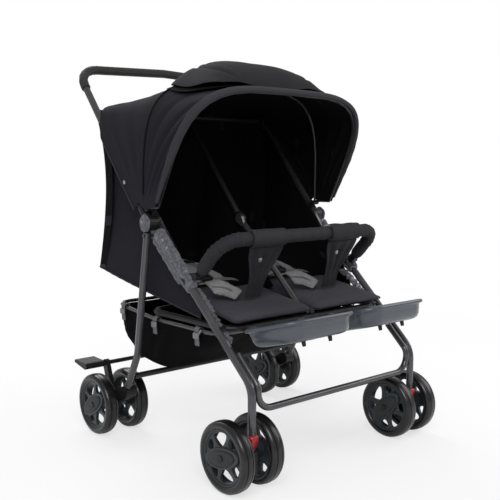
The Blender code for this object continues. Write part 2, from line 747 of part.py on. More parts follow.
def make_tyre_mesh():
    """A tyre with a rounded tread. One corner of its faceted circle points down."""
    half = TYRE_WIDTH / 2
    inner = TYRE_INNER_RADIUS / math.cos(math.pi / TYRE_SIDES)
    profile = [
        (inner, -HUB_RIM_WIDTH / 2),
        (TYRE_INNER_RADIUS + 0.009, -half),
        (WHEEL_RADIUS, -half * 0.5),
        (WHEEL_RADIUS, half * 0.5),
        (TYRE_INNER_RADIUS + 0.009, half),
        (inner, HUB_RIM_WIDTH / 2),
    ]
    rings = []
    for i in range(TYRE_SIDES):
        a = -math.pi / 2 + 2 * math.pi * i / TYRE_SIDES
        rings.append([Vector((x, r * math.cos(a), r * math.sin(a))) for r, x in profile])
    return finish(loft(rings, closed=True), "tyre", "tyre")


def copy_to(pattern, name, place, kind):
    """A named copy of a pattern piece, with its own material."""
    obj = bpy.data.objects.new(name, pattern.data.copy())
    obj.data.name = name
    obj.data.materials.clear()
    obj.data.materials.append(make_material(name, *FINISHES[kind]))
    obj.location = place
    bpy.context.scene.collection.objects.link(obj)
    return obj


def make_wheels(parents):
    """Eight wheels in four twin pairs. Each turns on its own."""
    hub, tyre = make_hub_mesh(), make_tyre_mesh()
    rows = {
        "front": (SWIVEL_HALF_WIDTH, FRONT_AXLE_Y, FRONT_WHEEL_SPREAD),
        "rear": (REAR_WHEEL_X, REAR_AXLE_Y, REAR_WHEEL_SPREAD),
    }
    for row, (x, y, spread) in rows.items():
        for side, sign in SIDES.items():
            for place, offset in (("inner", -spread), ("outer", spread)):
                centre = Vector((sign * (x + offset), y, WHEEL_RADIUS))
                name = f"{row}_{side}_{place}"
                body = add_body(f"wheel_{name}", centre, parents[row, side])
                for pattern, kind in ((hub, "hub plastic"), (tyre, "tyre")):
                    piece = copy_to(pattern, f"{kind.split()[0]}_{name}", Vector(), kind)
                    piece.parent = body
    for pattern in (hub, tyre):
        bpy.data.objects.remove(pattern, do_unlink=True)


def make_brake_bar():
    """A bar across both rear brackets, with a foot pedal over the right wheels."""
    reach = REAR_WHEEL_X + 0.028
    start, end = Vector((-reach, BRAKE_Y, BRAKE_Z)), Vector((reach, BRAKE_Y, BRAKE_Z))
    bar = finish(rod_mesh(start, end, BRAKE_BAR_RADIUS), "brake_bar", "black plastic")
    outline = outline_round(
        [(BRAKE_Y, BRAKE_Z, 0.009), (BRAKE_Y + PEDAL_LENGTH, BRAKE_Z + 0.006, PEDAL_THICKNESS / 2)]
    )
    inner = REAR_WHEEL_X + 0.0105
    union(bar, prism_mesh(outline, -inner, -inner - PEDAL_WIDTH))
    return bar


def make_seat_frame():
    """A ring of tube under both seats, the trays' hinge rods and the spacers to the legs."""
    w, z = SEAT_FRAME_HALF_WIDTH, SEAT_FRAME_Z
    front, rear = ahead(SEAT_FRAME_AHEAD), behind(SEAT_FRAME_BEHIND)
    depth = (rear - front) / 2
    outline = rounded_rectangle(w, depth, 0.045, 3)
    middle = (front + rear) / 2
    path = [Vector((x, middle + y, z)) for x, y in outline]
    frame = finish(closed_tube_mesh(path, CROSS_RADIUS, 10), "seat_frame", "graphite")
    rod_y = ahead(TRAY_HINGE_AHEAD)
    half = TRAY_KNUCKLE_OFFSET + TRAY_KNUCKLE_WIDTH / 2 + 0.010
    for sign in SIDES.values():
        x = sign * tray_centre_x()
        start, end = Vector((x - half, rod_y, TRAY_HINGE_Z)), Vector((x + half, rod_y, TRAY_HINGE_Z))
        union(frame, rod_mesh(start, end, TRAY_ROD_RADIUS, 8))
        for offset in (-half + 0.004, 0.0, half - 0.004):
            low = (x + offset - 0.003, rod_y, TRAY_HINGE_Z - 0.003)
            high = (x + offset + 0.003, front - 0.002, TRAY_HINGE_Z + 0.003)
            union(frame, box_mesh(low, high))
        spacer_y = front_leg_y(z)
        leg_x = leg_x_at(z)
        start = Vector((sign * w, spacer_y, z))
        end = Vector((sign * (leg_x - LEG_RADIUS - GAP), spacer_y, z))
        union(frame, rod_mesh(start, end, 0.006, 10))
        for y in (ahead(HANGER_AHEAD), behind(HANGER_BEHIND)):
            low = (sign * w - 0.004, y - 0.006, BASKET_RIM_Z + BASKET_RIM_RADIUS + GAP)
            high = (sign * w + 0.004, y + 0.006, z - CROSS_RADIUS * 0.4)
            union(frame, box_mesh(low, high))
    loop = [
        (side * LOOP_HALF_WIDTH, front - y, z - drop)
        for side, y, drop in ((-1, 0.0, 0.0), (-1, LOOP_REACH, LOOP_DROP), (1, LOOP_REACH, LOOP_DROP), (1, 0.0, 0.0))
    ]
    union(frame, tube_mesh(rounded_path(loop, LOOP_HALF_WIDTH * 0.9, 2), LOOP_WIRE_RADIUS, 6))
    return frame


def leg_x_at(z):
    """How far out the sloping part of a front leg is at a height."""
    share = (LEG_TOP.z - z) / (LEG_TOP.z - LEG_KNEE_Z)
    return LEG_TOP_X + share * (SWIVEL_HALF_WIDTH - LEG_TOP_X)


def make_centre_tubes():
    """The tube between the seats, in line with the handle, in two halves at the main hinge."""
    lower_start = HINGE + LEG_DIRECTION * CENTRE_TUBE_START
    foot_z = SEAT_FRAME_Z + 2 * CROSS_RADIUS + GAP
    knee = HINGE + LEG_DIRECTION * ((HINGE_Z - foot_z) / -LEG_DIRECTION.z)
    foot = Vector((0, ahead(SEAT_FRAME_AHEAD + CROSS_RADIUS), foot_z))
    path = rounded_path([lower_start, knee, foot], CENTRE_TUBE_BEND_RADIUS)
    lower = finish(tube_mesh(path, CROSS_RADIUS), "centre_tube_lower", "graphite")
    start = along_handle(0, CENTRE_TUBE_START)
    end = along_handle(0, UPPER_CROSS_ALONG_HANDLE)
    upper = finish(rod_mesh(start, end, CROSS_RADIUS), "centre_tube_upper", "graphite")
    half = HANDLE_HALF_WIDTH - LEG_RADIUS - GAP
    cross = [along_handle(x, UPPER_CROSS_ALONG_HANDLE) for x in (-half, half)]
    union(upper, rod_mesh(*cross, CROSS_RADIUS * 0.9))
    for tube, end_point, sign in ((lower, lower_start, -1), (upper, start, 1)):
        circles = [(HINGE.y, HINGE.z, CENTRE_HINGE_RADIUS), (end_point.y, end_point.z, CROSS_RADIUS * 0.9)]
        union(tube, prism_mesh(outline_round(circles), sign * GAP / 2, sign * CROSS_RADIUS))
    reach = Vector((CROSS_RADIUS + 0.002, 0, 0))
    union(lower, rod_mesh(HINGE - reach / 2, HINGE + reach, HINGE_PIN_RADIUS))
    cut(upper, rod_mesh(HINGE - reach, HINGE + reach * 2, bore(HINGE_PIN_RADIUS)))
    return lower, upper


def seat_centre_x():
    return (SEAT_INNER_X + SEAT_OUTER_X) / 2


def make_seat(side, sign):
    low = SEAT_FRAME_Z + CROSS_RADIUS + GAP
    front, rear = ahead(SEAT_AHEAD), ahead(SEAT_REAR_AHEAD)
    crown = 0.008
    centre = (sign * seat_centre_x(), (front + rear) / 2, (low + SEAT_TOP_Z - crown) / 2)
    size = (SEAT_OUTER_X - SEAT_INNER_X, rear - front, SEAT_TOP_Z - crown - low)
    return finish(cushion_mesh(centre, size, crown, 0.010, 0.035), f"seat_{side}", "black cloth")


def make_back(side, sign):
    """A padded board and the pad on it, which tilt together about the crease."""
    crease = Vector((sign * seat_centre_x(), ahead(CREASE_AHEAD), CREASE_Z))
    width = SEAT_OUTER_X - BACK_INNER_X
    start = 0.016
    board_centre = (0, start + BACK_LENGTH / 2, -BACK_THICKNESS / 2)
    board = cushion_mesh(board_centre, (width, BACK_LENGTH, BACK_THICKNESS - 0.004), 0.004, 0.005, 0.030)
    board = finish(tilted(board, crease, BACK_REST_ANGLE), f"backrest_{side}", "black cloth")
    length = BACK_LENGTH * 0.74
    pad_z = 0.0024 + PAD_THICKNESS / 2
    pad_centre = (0, start + PAD_MARGIN * 0.5 + length / 2, pad_z)
    pad = cushion_mesh(
        pad_centre, (width - 2 * PAD_MARGIN, length, PAD_THICKNESS - 0.004), 0.004, 0.004, 0.070
    )
    pad = finish(tilted(pad, crease, BACK_REST_ANGLE), f"seat_pad_{side}", "grey cloth")
    return board, pad


def tray_centre_x():
    return SEAT_OUTER_X - TRAY_WIDTH / 2


def make_tray(side, sign):
    """A moulded leg rest: a lipped bowl with two hinge knuckles and two feet."""
    hinge = Vector((sign * tray_centre_x(), ahead(TRAY_HINGE_AHEAD), TRAY_HINGE_Z))
    half_x, half_y = TRAY_WIDTH / 2, TRAY_LENGTH / 2
    middle = -(TRAY_HINGE_CLEARANCE + half_y)
    taper = 0.010
    levels = (
        (TRAY_LIP + taper, -TRAY_DEPTH),
        (TRAY_LIP, -TRAY_LIP_THICKNESS),
        (0.0, -TRAY_LIP_THICKNESS),
        (0.0, 0.0),
        (TRAY_LIP * 0.5, 0.0022),
        (TRAY_LIP + TRAY_WALL, 0.0),
        (TRAY_LIP + TRAY_WALL + taper, TRAY_WALL - TRAY_DEPTH),
    )
    rings = []
    for inset, z in levels:
        outline = rounded_rectangle(half_x - inset, half_y - inset, 0.040 - inset * 0.5, 4)
        rings.append([Vector((x, middle + y, z)) for x, y in outline])
    tray = finish(tilted(loft(rings), hinge, -TRAY_REST_TILT), f"leg_tray_{side}", "tray plastic")
    for offset in (-TRAY_KNUCKLE_OFFSET, TRAY_KNUCKLE_OFFSET):
        start = Vector((offset - TRAY_KNUCKLE_WIDTH / 2, 0, 0))
        end = Vector((offset + TRAY_KNUCKLE_WIDTH / 2, 0, 0))
        union(tray, tilted(rod_mesh(start, end, TRAY_KNUCKLE_RADIUS), hinge, -TRAY_REST_TILT))
        foot = Vector((offset * 0.55, middle - half_y * 0.45, 0.004 - TRAY_DEPTH))
        toe = foot - Vector((0, 0, 0.012))
        union(tray, tilted(rod_mesh(foot, toe, 0.006, 8), hinge, -TRAY_REST_TILT))
    across = Vector((half_x, 0, 0))
    cut(tray, tilted(rod_mesh(-across, across, bore(TRAY_ROD_RADIUS, 12)), hinge, -TRAY_REST_TILT))
    return tray


def make_bumper():
    """A padded bar across both seats, with its ends turned down to the sockets."""
    w, y, z = BUMPER_HALF_WIDTH, ahead(BUMPER_AHEAD), BUMPER_Z
    pivot_y, pivot_z = ahead(BUMPER_PIVOT_AHEAD), BUMPER_PIVOT_Z
    up = Vector((0, y - pivot_y, z - pivot_z)).normalized()
    foot = Vector((0, pivot_y, pivot_z)) + up * 0.012
    points = [(-w, foot.y, foot.z), (-w, y, z), (w, y, z), (w, foot.y, foot.z)]
    path = rounded_path(points, BUMPER_BEND_RADIUS, 6)
    bar = finish(tube_mesh(path, BUMPER_RADIUS, 10), "bumper_bar", "black cloth")
    for sign in SIDES.values():
        eye = outline_round([(pivot_y, pivot_z, 0.010), (foot.y, foot.z, 0.010)])
        union(bar, prism_mesh(eye, sign * (w - 0.006), sign * (w + 0.005)))
        pivot = Vector((sign * w, pivot_y, pivot_z))
        across = Vector((0.03, 0, 0))
        cut(bar, rod_mesh(pivot - across, pivot + across, bore(0.004), 12))
    return bar


def make_bumper_socket(side, sign):
    """A clamp on the front leg with the pin of the bumper bar."""
    z = BUMPER_PIVOT_Z - 0.006
    x = leg_x_at(z)
    leg = Vector((sign * x, front_leg_y(z), z))
    clamp = finish(
        rod_mesh(leg - LEG_DIRECTION * 0.020, leg + LEG_DIRECTION * 0.020, LEG_RADIUS + 0.0035),
        f"bumper_socket_{side}",
        "black plastic",
    )
    pivot_y, pivot_z = ahead(BUMPER_PIVOT_AHEAD), BUMPER_PIVOT_Z
    arm = outline_round([(pivot_y, pivot_z, 0.009), (leg.y, leg.z, 0.009)])
    inner = BUMPER_HALF_WIDTH + 0.005 + GAP
    union(clamp, prism_mesh(arm, sign * inner, sign * max(inner + BUMPER_ARM_THICKNESS, x)))
    start = Vector((sign * (inner + 0.003), pivot_y, pivot_z))
    end = Vector((sign * (BUMPER_HALF_WIDTH - 0.006 - 0.002), pivot_y, pivot_z))
    union(clamp, rod_mesh(start, end, 0.004))
    top = Vector((sign * leg_x_at(z + 0.06), front_leg_y(z + 0.06), z + 0.06))
    foot = Vector((sign * leg_x_at(z - 0.06), front_leg_y(z - 0.06), z - 0.06))
    cut(clamp, rod_mesh(top, foot, bore(LEG_RADIUS)))
    return clamp


def make_crotch(side, sign):
    """The cloth that hangs from the bumper bar to the seat, with two folds to its snap."""
    x = sign * seat_centre_x()
    top = Vector((x, ahead(BUMPER_AHEAD), BUMPER_Z - BUMPER_RADIUS - 0.0006))
    foot = Vector((x, ahead(BUMPER_AHEAD - 0.004), SEAT_TOP_Z + 0.001))
    columns, rows = 9, 6
    outer, inner = [], []
    for i in range(rows):
        t = i / (rows - 1)
        half = (CROTCH_TOP_WIDTH * (1 - t) ** 1.6 + CROTCH_FOOT_WIDTH * (1 - (1 - t) ** 1.6)) / 2
        centre = top.lerp(foot, t)
        fold = [0.004 * math.cos(2 * math.pi * (j / (columns - 1) - 0.5) * 2) * (1 - t) for j in range(columns)]
        places = [(centre.x + half * (2 * j / (columns - 1) - 1), centre.y + fold[j]) for j in range(columns)]
        outer.append([Vector((px, py - CLOTH / 2, centre.z)) for px, py in places])
        inner.append([Vector((px, py + CLOTH / 2, centre.z)) for px, py in places])
    return finish(skin(outer, inner), f"crotch_{side}", "black cloth")


def arch(half_width, height, count, squareness=BOW_SQUARENESS):
    """Points (x, rise) of a square-shouldered arch from +X over to -X."""
    points = []
    for i in range(count):
        a = math.pi * i / (count - 1)
        c, s = math.cos(a), math.sin(a)
        x = math.copysign(abs(c) ** (2 / squareness), c) * half_width
        points.append((x, abs(s) ** (2 / squareness) * height))
    return points


def bow_points(kind, half_width, count, grow=0.0):
    """The bow's arch in space. Both bows start at the pivot on the knuckles' ears."""
    if kind == "front":
        base = BOW_PIVOT + Vector((0, -FRONT_BOW_STUB, 0.004))
        top = Vector((0, ahead(FRONT_BOW_TOP_AHEAD), FRONT_BOW_TOP_Z))
    else:
        base = BOW_PIVOT
        top = Vector((0, ahead(MID_BOW_TOP_AHEAD), MID_BOW_TOP_Z))
    rise = top - base
    up = rise.normalized()
    return [
        base + up * h + Vector((x, 0, 0)) for x, h in arch(half_width, rise.length + grow, count)
    ]


def make_bow(kind, half_width):
    """A wire bow with an eye at each end that turns on the knuckles' pins."""
    arch_path = bow_points(kind, half_width, 19)
    lift = Vector((0, -0.006, 0.004)) if kind == "front" else (arch_path[1] - arch_path[0]).normalized() * 0.004
    start, end = Vector((half_width, 0, 0)), Vector((-half_width, 0, 0))
    path = [BOW_PIVOT + start + lift] + (arch_path if kind == "front" else arch_path[1:-1])
    path.append(BOW_PIVOT + end + lift)
    bow = finish(tube_mesh(path, BOW_RADIUS, 6), f"canopy_bow_{kind}", "graphite")
    for x in (half_width, -half_width):
        eye = BOW_PIVOT + Vector((x, 0, 0))
        thick = Vector((BOW_RADIUS - 0.0004, 0, 0))
        union(bow, rod_mesh(eye - thick, eye + thick, 0.0068, 14))
        across = Vector((0.02, 0, 0))
        cut(bow, rod_mesh(eye - across, eye + across, bore(BOW_PIN_RADIUS, 8), 8))
    return bow


def canopy_section(where, offset, count):
    """One cross-section of the canopy's skin. offset moves it in from the outside."""
    half = CANOPY_HALF_WIDTH - offset
    if where != "rear":
        return bow_points(where, half, count, BOW_RADIUS + CLOTH + 0.0016 - offset)
    lift = LEG_RADIUS + CLOTH + 0.002
    base = HINGE + HANDLE_DIRECTION * CANOPY_SIDE_START + HANDLE_FORWARD * lift
    height = CANOPY_REAR_ALONG_HANDLE - CANOPY_SIDE_START - offset
    return [base + HANDLE_DIRECTION * h + Vector((x, 0, 0)) for x, h in arch(half, height, count, 9)]


def canopy_panel(start, end, steps, sag, shift, count=19):
    """A stretched panel between two sections, a little slack between them."""
    grids = []
    for offset in (0.0, CLOTH):
        one, other = canopy_section(start, offset, count), canopy_section(end, offset, count)
        grid = []
        for i in range(steps + 1):
            t = i / steps
            droop = sag * math.sin(math.pi * t)
            seam = Vector((0, shift * (1 - t), 0))
            row = []
            for p, q in zip(one, other):
                away = Vector((0, p.y - BOW_PIVOT.y, p.z - BOW_PIVOT.z))
                slack = away.normalized() * droop if away.length > 0.1 else Vector()
                row.append(p.lerp(q, t) - slack + seam)
            grid.append(row)
        grids.append(grid)
    return skin(*grids)


def make_canopy():
    """The front panel, the rear panel behind the middle bow, and the raised hood on top."""
    front = canopy_panel("front", "mid", 3, 0.004, 0.0)
    rear = canopy_panel("mid", "rear", 3, 0.0, CANOPY_SEAM_GAP)
    names = ("canopy_front", "canopy_rear", "canopy_scoop")
    return [finish(bm, name, "black cloth") for bm, name in zip((front, rear, scoop_mesh()), names)]


def scoop_mesh():
    """The hood on the canopy's top: gathered in front, highest and open at the rear."""
    count, rows = 13, 5
    mid_y = ahead(MID_BOW_TOP_AHEAD)
    y0, y1 = ahead(FRONT_BOW_TOP_AHEAD) + 0.040, mid_y + 0.085
    grids = []
    for offset in (0.0, CLOTH):
        grid = []
        for i in range(rows):
            t = i / (rows - 1)
            y = y0 + (y1 - y0) * t
            half = SCOOP_HALF_WIDTH * (0.82 + 0.18 * t)
            crown = max(0.0, SCOOP_TOP_Z - 0.010 * (1 - t) - roof_z(0.0, y)) * min(1.0, 0.35 + t)
            row = []
            for j in range(count):
                u = 2 * j / (count - 1) - 1
                x = u * half
                hem = roof_z(x, y) + SCOOP_LIFT
                rise = (crown - SCOOP_LIFT) * (1 - abs(u) ** 2.2)
                row.append(Vector((x * (1 - offset / half), y, hem + max(rise, 0.0) + CLOTH - offset)))
            grid.append(row)
        grids.append(grid)
    return skin(*grids)


def roof_z(x, y):
    """The height of the canopy's outer skin over a place between its front and rear hems."""
    sections = [canopy_section(where, 0.0, 61) for where in ("front", "mid", "rear")]
    curves = []
    for section in sections:
        near = min(section, key=lambda p: abs(p.x - x) - p.z)
        curves.append((near.y, near.z))
    for (ya, za), (yb, zb) in zip(curves, curves[1:]):
        if y <= yb or (yb, zb) == curves[-1]:
            return za + (zb - za) * (y - ya) / (yb - ya)


def basket_outline(half, front, rear, kink):
    """A rounded rectangle with a point on each long side where the rim starts to rise."""
    middle = (front + rear) / 2
    corners = rounded_rectangle(half, (rear - front) / 2, BASKET_CORNER)
    points = [(x, middle + y) for x, y in corners]
    quarter = len(points) // 4
    return (
        points[:quarter]
        + points[quarter : 2 * quarter]
        + [(-half, kink)]
        + points[2 * quarter :]
        + [(half, kink)]
    )


def make_basket():
    """A cloth basket open at the top, and the rim of tube that it hangs from."""
    kink = behind(BASKET_KINK_BEHIND)

    def ring(share, inset, lift):
        half = BASKET_HALF_WIDTH - BASKET_FLARE * (1 - share) - inset
        front = ahead(BASKET_FLOOR_AHEAD + (BASKET_AHEAD - BASKET_FLOOR_AHEAD) * share) + inset
        rear = behind(BASKET_FLOOR_BEHIND + (BASKET_BEHIND - BASKET_FLOOR_BEHIND) * share) - inset
        points = []
        for x, y in basket_outline(half, front, rear, kink):
            low, high = BASKET_FLOOR_Z + lift, rim_z(y) - BASKET_RIM_RADIUS - 2 * GAP
            points.append(Vector((x, y, low + (high - low) * share)))
        return points

    rings = [ring(0, 0, 0), ring(0.45, -0.008, 0), ring(1, 0, 0)]
    rings += [ring(1, CLOTH, 0), ring(0.45, CLOTH - 0.008, CLOTH), ring(0, CLOTH, CLOTH)]
    basket = finish(loft(rings), "basket", "black cloth")
    path = [
        Vector((x, y, rim_z(y)))
        for x, y in basket_outline(BASKET_HALF_WIDTH, ahead(BASKET_AHEAD), behind(BASKET_BEHIND), kink)
    ]
    rim = finish(closed_tube_mesh(path, BASKET_RIM_RADIUS, 8), "basket_rim", "graphite")
    return basket, rim


def closed_tube_mesh(path, radius, sides=TUBE_SIDES):
    """A tube along a closed, nearly level path."""
    rings = []
    for i, point in enumerate(path):
        along = (path[(i + 1) % len(path)] - path[i - 1]).normalized()
        rings.append(ring_round(point, along, Vector((0, 0, 1)), radius, sides))
    return loft(rings, closed=True)


def rim_z(y):
    """The basket's rim is level under the seats and rises at the rear."""
    start = behind(BASKET_KINK_BEHIND)
    share = max(0.0, (y - start) / (behind(BASKET_BEHIND) - start))
    return BASKET_RIM_Z + (BASKET_REAR_RIM_Z - BASKET_RIM_Z) * share


def enclosure_point(s, v):
    """A place on a side wall: s runs from the front to the head end and v from low to high."""
    low = Vector((0, ahead(0.050), 0.4215)).lerp(Vector((0, behind(0.282), 0.462)), s)
    top = HINGE + HANDLE_DIRECTION * (UPPER_CROSS_ALONG_HANDLE - CROSS_RADIUS)
    top -= HANDLE_FORWARD * (CROSS_RADIUS + ENCLOSURE_BEHIND_TUBE)
    high = (HINGE + Vector((0, 0.012, -0.030))).lerp(top, s)
    slack = ENCLOSURE_SLACK * math.sin(math.pi * v) * s * s
    return low.lerp(high, v) - Vector((0, slack, 0))


def make_enclosure():
    """The cloth round both backs: two side walls and the head end, which hangs in folds."""
    side_steps, rear_steps, rows = 4, 20, 6

    def column(k, v, inset):
        """Column k runs down one side, across the head end and back up the other side."""
        from_end = min(k, 2 * side_steps + rear_steps - k)
        side = -1 if k < side_steps else 1
        if from_end < side_steps:
            s = from_end / side_steps
            flare = max(0.0, (s - 0.25) / 0.75)
            half = ENCLOSURE_FRONT_HALF_WIDTH * (1 - flare) + ENCLOSURE_REAR_HALF_WIDTH * flare
            point = enclosure_point(s, v)
            return Vector((side * (half - inset), point.y, point.z))
        u = (k - side_steps) / rear_steps
        fade = math.sin(math.pi * u) ** 0.5 * (1 - 0.6 * v)
        fold = ENCLOSURE_FOLD_DEPTH * math.cos(2 * math.pi * ENCLOSURE_FOLDS * u) * fade
        point = enclosure_point(1, v)
        x = (2 * u - 1) * (ENCLOSURE_REAR_HALF_WIDTH - inset)
        return Vector((x, point.y + fold - inset, point.z))

    grids = []
    for inset in (0.0, CLOTH):
        grids.append(
            [
                [column(k, i / (rows - 1), inset) for k in range(2 * side_steps + rear_steps + 1)]
                for i in range(rows)
            ]
        )
    return finish(skin(*grids), "seat_enclosure", "black cloth")


def make_divider():
    """The cloth between the two seats, under the centre tube."""
    low = SEAT_TOP_Z + DIVIDER_ABOVE_SEAT
    near_hinge = HINGE - HANDLE_FORWARD * (CENTRE_HINGE_RADIUS + 0.008) + HANDLE_DIRECTION * 0.005
    high = along_handle(0, DIVIDER_ALONG_HANDLE) - HANDLE_FORWARD * (CROSS_RADIUS + 0.012)
    outline = [
        (ahead(DIVIDER_AHEAD), low),
        (ahead(CREASE_AHEAD), low),
        (high.y + 0.020, low + DIVIDER_REAR_RISE),
        (high.y, high.z),
        (near_hinge.y, near_hinge.z),
    ]
    return finish(prism_mesh(outline, -CLOTH / 2, CLOTH / 2), "seat_divider", "black cloth")


def build():
    clear_scene()
    frame = add_body("front_frame", Vector((0, 0, 0)))
    handle = add_body("handle", HINGE, frame)
    rear = add_body("rear_frame", REAR_PIVOT, frame)
    brake = add_body("brake", Vector((0, BRAKE_Y, BRAKE_Z)), rear)
    bumper = add_body("bumper", Vector((0, ahead(BUMPER_PIVOT_AHEAD), BUMPER_PIVOT_Z)), frame)
    canopy_mid = add_body("canopy_mid", BOW_PIVOT, handle)
    canopy_front = add_body("canopy_front_bow", BOW_PIVOT, canopy_mid)
    carry(handle, *make_handle())
    parents = {}
    for side, sign in SIDES.items():
        swivel = Vector((sign * SWIVEL_HALF_WIDTH, SWIVEL_Y, LEG_FOOT_Z))
        caster = add_body(f"caster_{side}", swivel, frame)
        lock = add_body(f"lock_{side}", swivel, frame)
        back = add_body(f"back_{side}", Vector((0, ahead(CREASE_AHEAD), CREASE_Z)), frame)
        tray = add_body(f"tray_{side}", Vector((0, ahead(TRAY_HINGE_AHEAD), TRAY_HINGE_Z)), frame)
        carry(handle, make_knuckle(side, sign))
        carry(frame, make_hinge_plate(side, sign), make_front_leg(side, sign))
        carry(frame, make_bumper_socket(side, sign), make_seat(side, sign))
        carry(rear, make_rear_leg(side, sign), make_rear_bracket(side, sign))
        carry(caster, make_caster(side, sign))
        carry(lock, make_swivel_lock(side, sign))
        carry(back, *make_back(side, sign))
        carry(tray, make_tray(side, sign))
        carry(bumper, make_crotch(side, sign))
        parents["front", side], parents["rear", side] = caster, rear
    carry(frame, make_front_cross_tube(), make_seat_frame())
    carry(rear, make_rear_cross_tube())
    carry(brake, make_brake_bar())
    carry(bumper, make_bumper())
    lower, upper = make_centre_tubes()
    carry(frame, lower, *make_basket(), make_enclosure(), make_divider())
    carry(handle, upper)
    carry(canopy_front, make_bow("front", FRONT_BOW_X))
    carry(canopy_mid, make_bow("mid", MID_BOW_X))
    front, rear_panel, scoop = make_canopy()
    carry(canopy_front, front)
    carry(canopy_mid, scoop)
    carry(handle, rear_panel)
    make_wheels(parents)


build()
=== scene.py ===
"""Double stroller: its cloth, padding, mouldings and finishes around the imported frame."""

import logging
import math
from dataclasses import dataclass
from enum import Enum
from typing import Sequence

import bmesh
import bpy
import numpy as np
from mathutils import Matrix, Vector, noise


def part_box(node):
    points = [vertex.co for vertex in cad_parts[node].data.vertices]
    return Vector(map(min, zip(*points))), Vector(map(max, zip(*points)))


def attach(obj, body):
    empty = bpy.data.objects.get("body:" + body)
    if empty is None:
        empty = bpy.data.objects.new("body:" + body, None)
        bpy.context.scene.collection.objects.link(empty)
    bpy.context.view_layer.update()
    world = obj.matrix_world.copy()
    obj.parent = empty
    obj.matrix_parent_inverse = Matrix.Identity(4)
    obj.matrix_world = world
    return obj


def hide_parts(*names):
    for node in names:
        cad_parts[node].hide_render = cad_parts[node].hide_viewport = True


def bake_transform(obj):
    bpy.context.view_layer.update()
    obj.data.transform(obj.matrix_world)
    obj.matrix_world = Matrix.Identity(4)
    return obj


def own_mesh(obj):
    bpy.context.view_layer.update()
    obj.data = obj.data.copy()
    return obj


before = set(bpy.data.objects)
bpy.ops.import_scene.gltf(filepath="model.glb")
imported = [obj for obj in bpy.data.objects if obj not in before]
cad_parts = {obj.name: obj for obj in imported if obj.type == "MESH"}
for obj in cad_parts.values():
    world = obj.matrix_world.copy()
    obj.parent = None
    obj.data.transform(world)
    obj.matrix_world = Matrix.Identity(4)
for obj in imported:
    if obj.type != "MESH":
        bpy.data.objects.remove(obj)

log = logging.getLogger("stroller")

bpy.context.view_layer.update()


class Side(Enum):
    """The stroller's two sides, with the sign of X on each."""

    RIGHT = -1
    LEFT = 1

    @property
    def word(self) -> str:
        """The side's name as the nodes write it."""
        return self.name.lower()


class Held(Enum):
    """How a sheet of cloth is held."""

    HUNG = "hung"
    STRETCHED = "stretched"


class Shade:
    """An output socket in a material, with arithmetic that adds Math nodes."""

    def __init__(self, paint: "Paint", socket: bpy.types.NodeSocket) -> None:
        """Wraps the socket of a node in paint's material."""
        self.paint = paint
        self.socket = socket

    def math(self, operation: str, first: "Shade | float", second: "Shade | float" = 0.0) -> "Shade":
        """Adds a Math node.

        Args:
            operation: the Math node's operation.
            first: its first value.
            second: its second value.

        Returns:
            The node's result.
        """
        return self.paint.node("ShaderNodeMath", {"operation": operation}, {0: first, 1: second})

    def __add__(self, other: "Shade | float") -> "Shade":
        """self + other."""
        return self.math("ADD", self, other)

    def __radd__(self, other: float) -> "Shade":
        """other + self."""
        return self.math("ADD", other, self)

    def __sub__(self, other: "Shade | float") -> "Shade":
        """self - other."""
        return self.math("SUBTRACT", self, other)

    def __rsub__(self, other: float) -> "Shade":
        """other - self."""
        return self.math("SUBTRACT", other, self)

    def __mul__(self, other: "Shade | float") -> "Shade":
        """self * other."""
        return self.math("MULTIPLY", self, other)

    def __rmul__(self, other: float) -> "Shade":
        """other * self."""
        return self.math("MULTIPLY", other, self)

    def __abs__(self) -> "Shade":
        """The value without its sign."""
        return self.math("ABSOLUTE", self)

    def sine(self) -> "Shade":
        """The sine of the value in radians."""
        return self.math("SINE", self)

    def ramp(self, low: float, high: float) -> "Shade":
        """Rises smoothly from 0 at low to 1 at high."""
        return self.paint.node(
            "ShaderNodeMapRange",
            {"interpolation_type": "SMOOTHSTEP"},
            {"Value": self, "From Min": low, "From Max": high},
        )


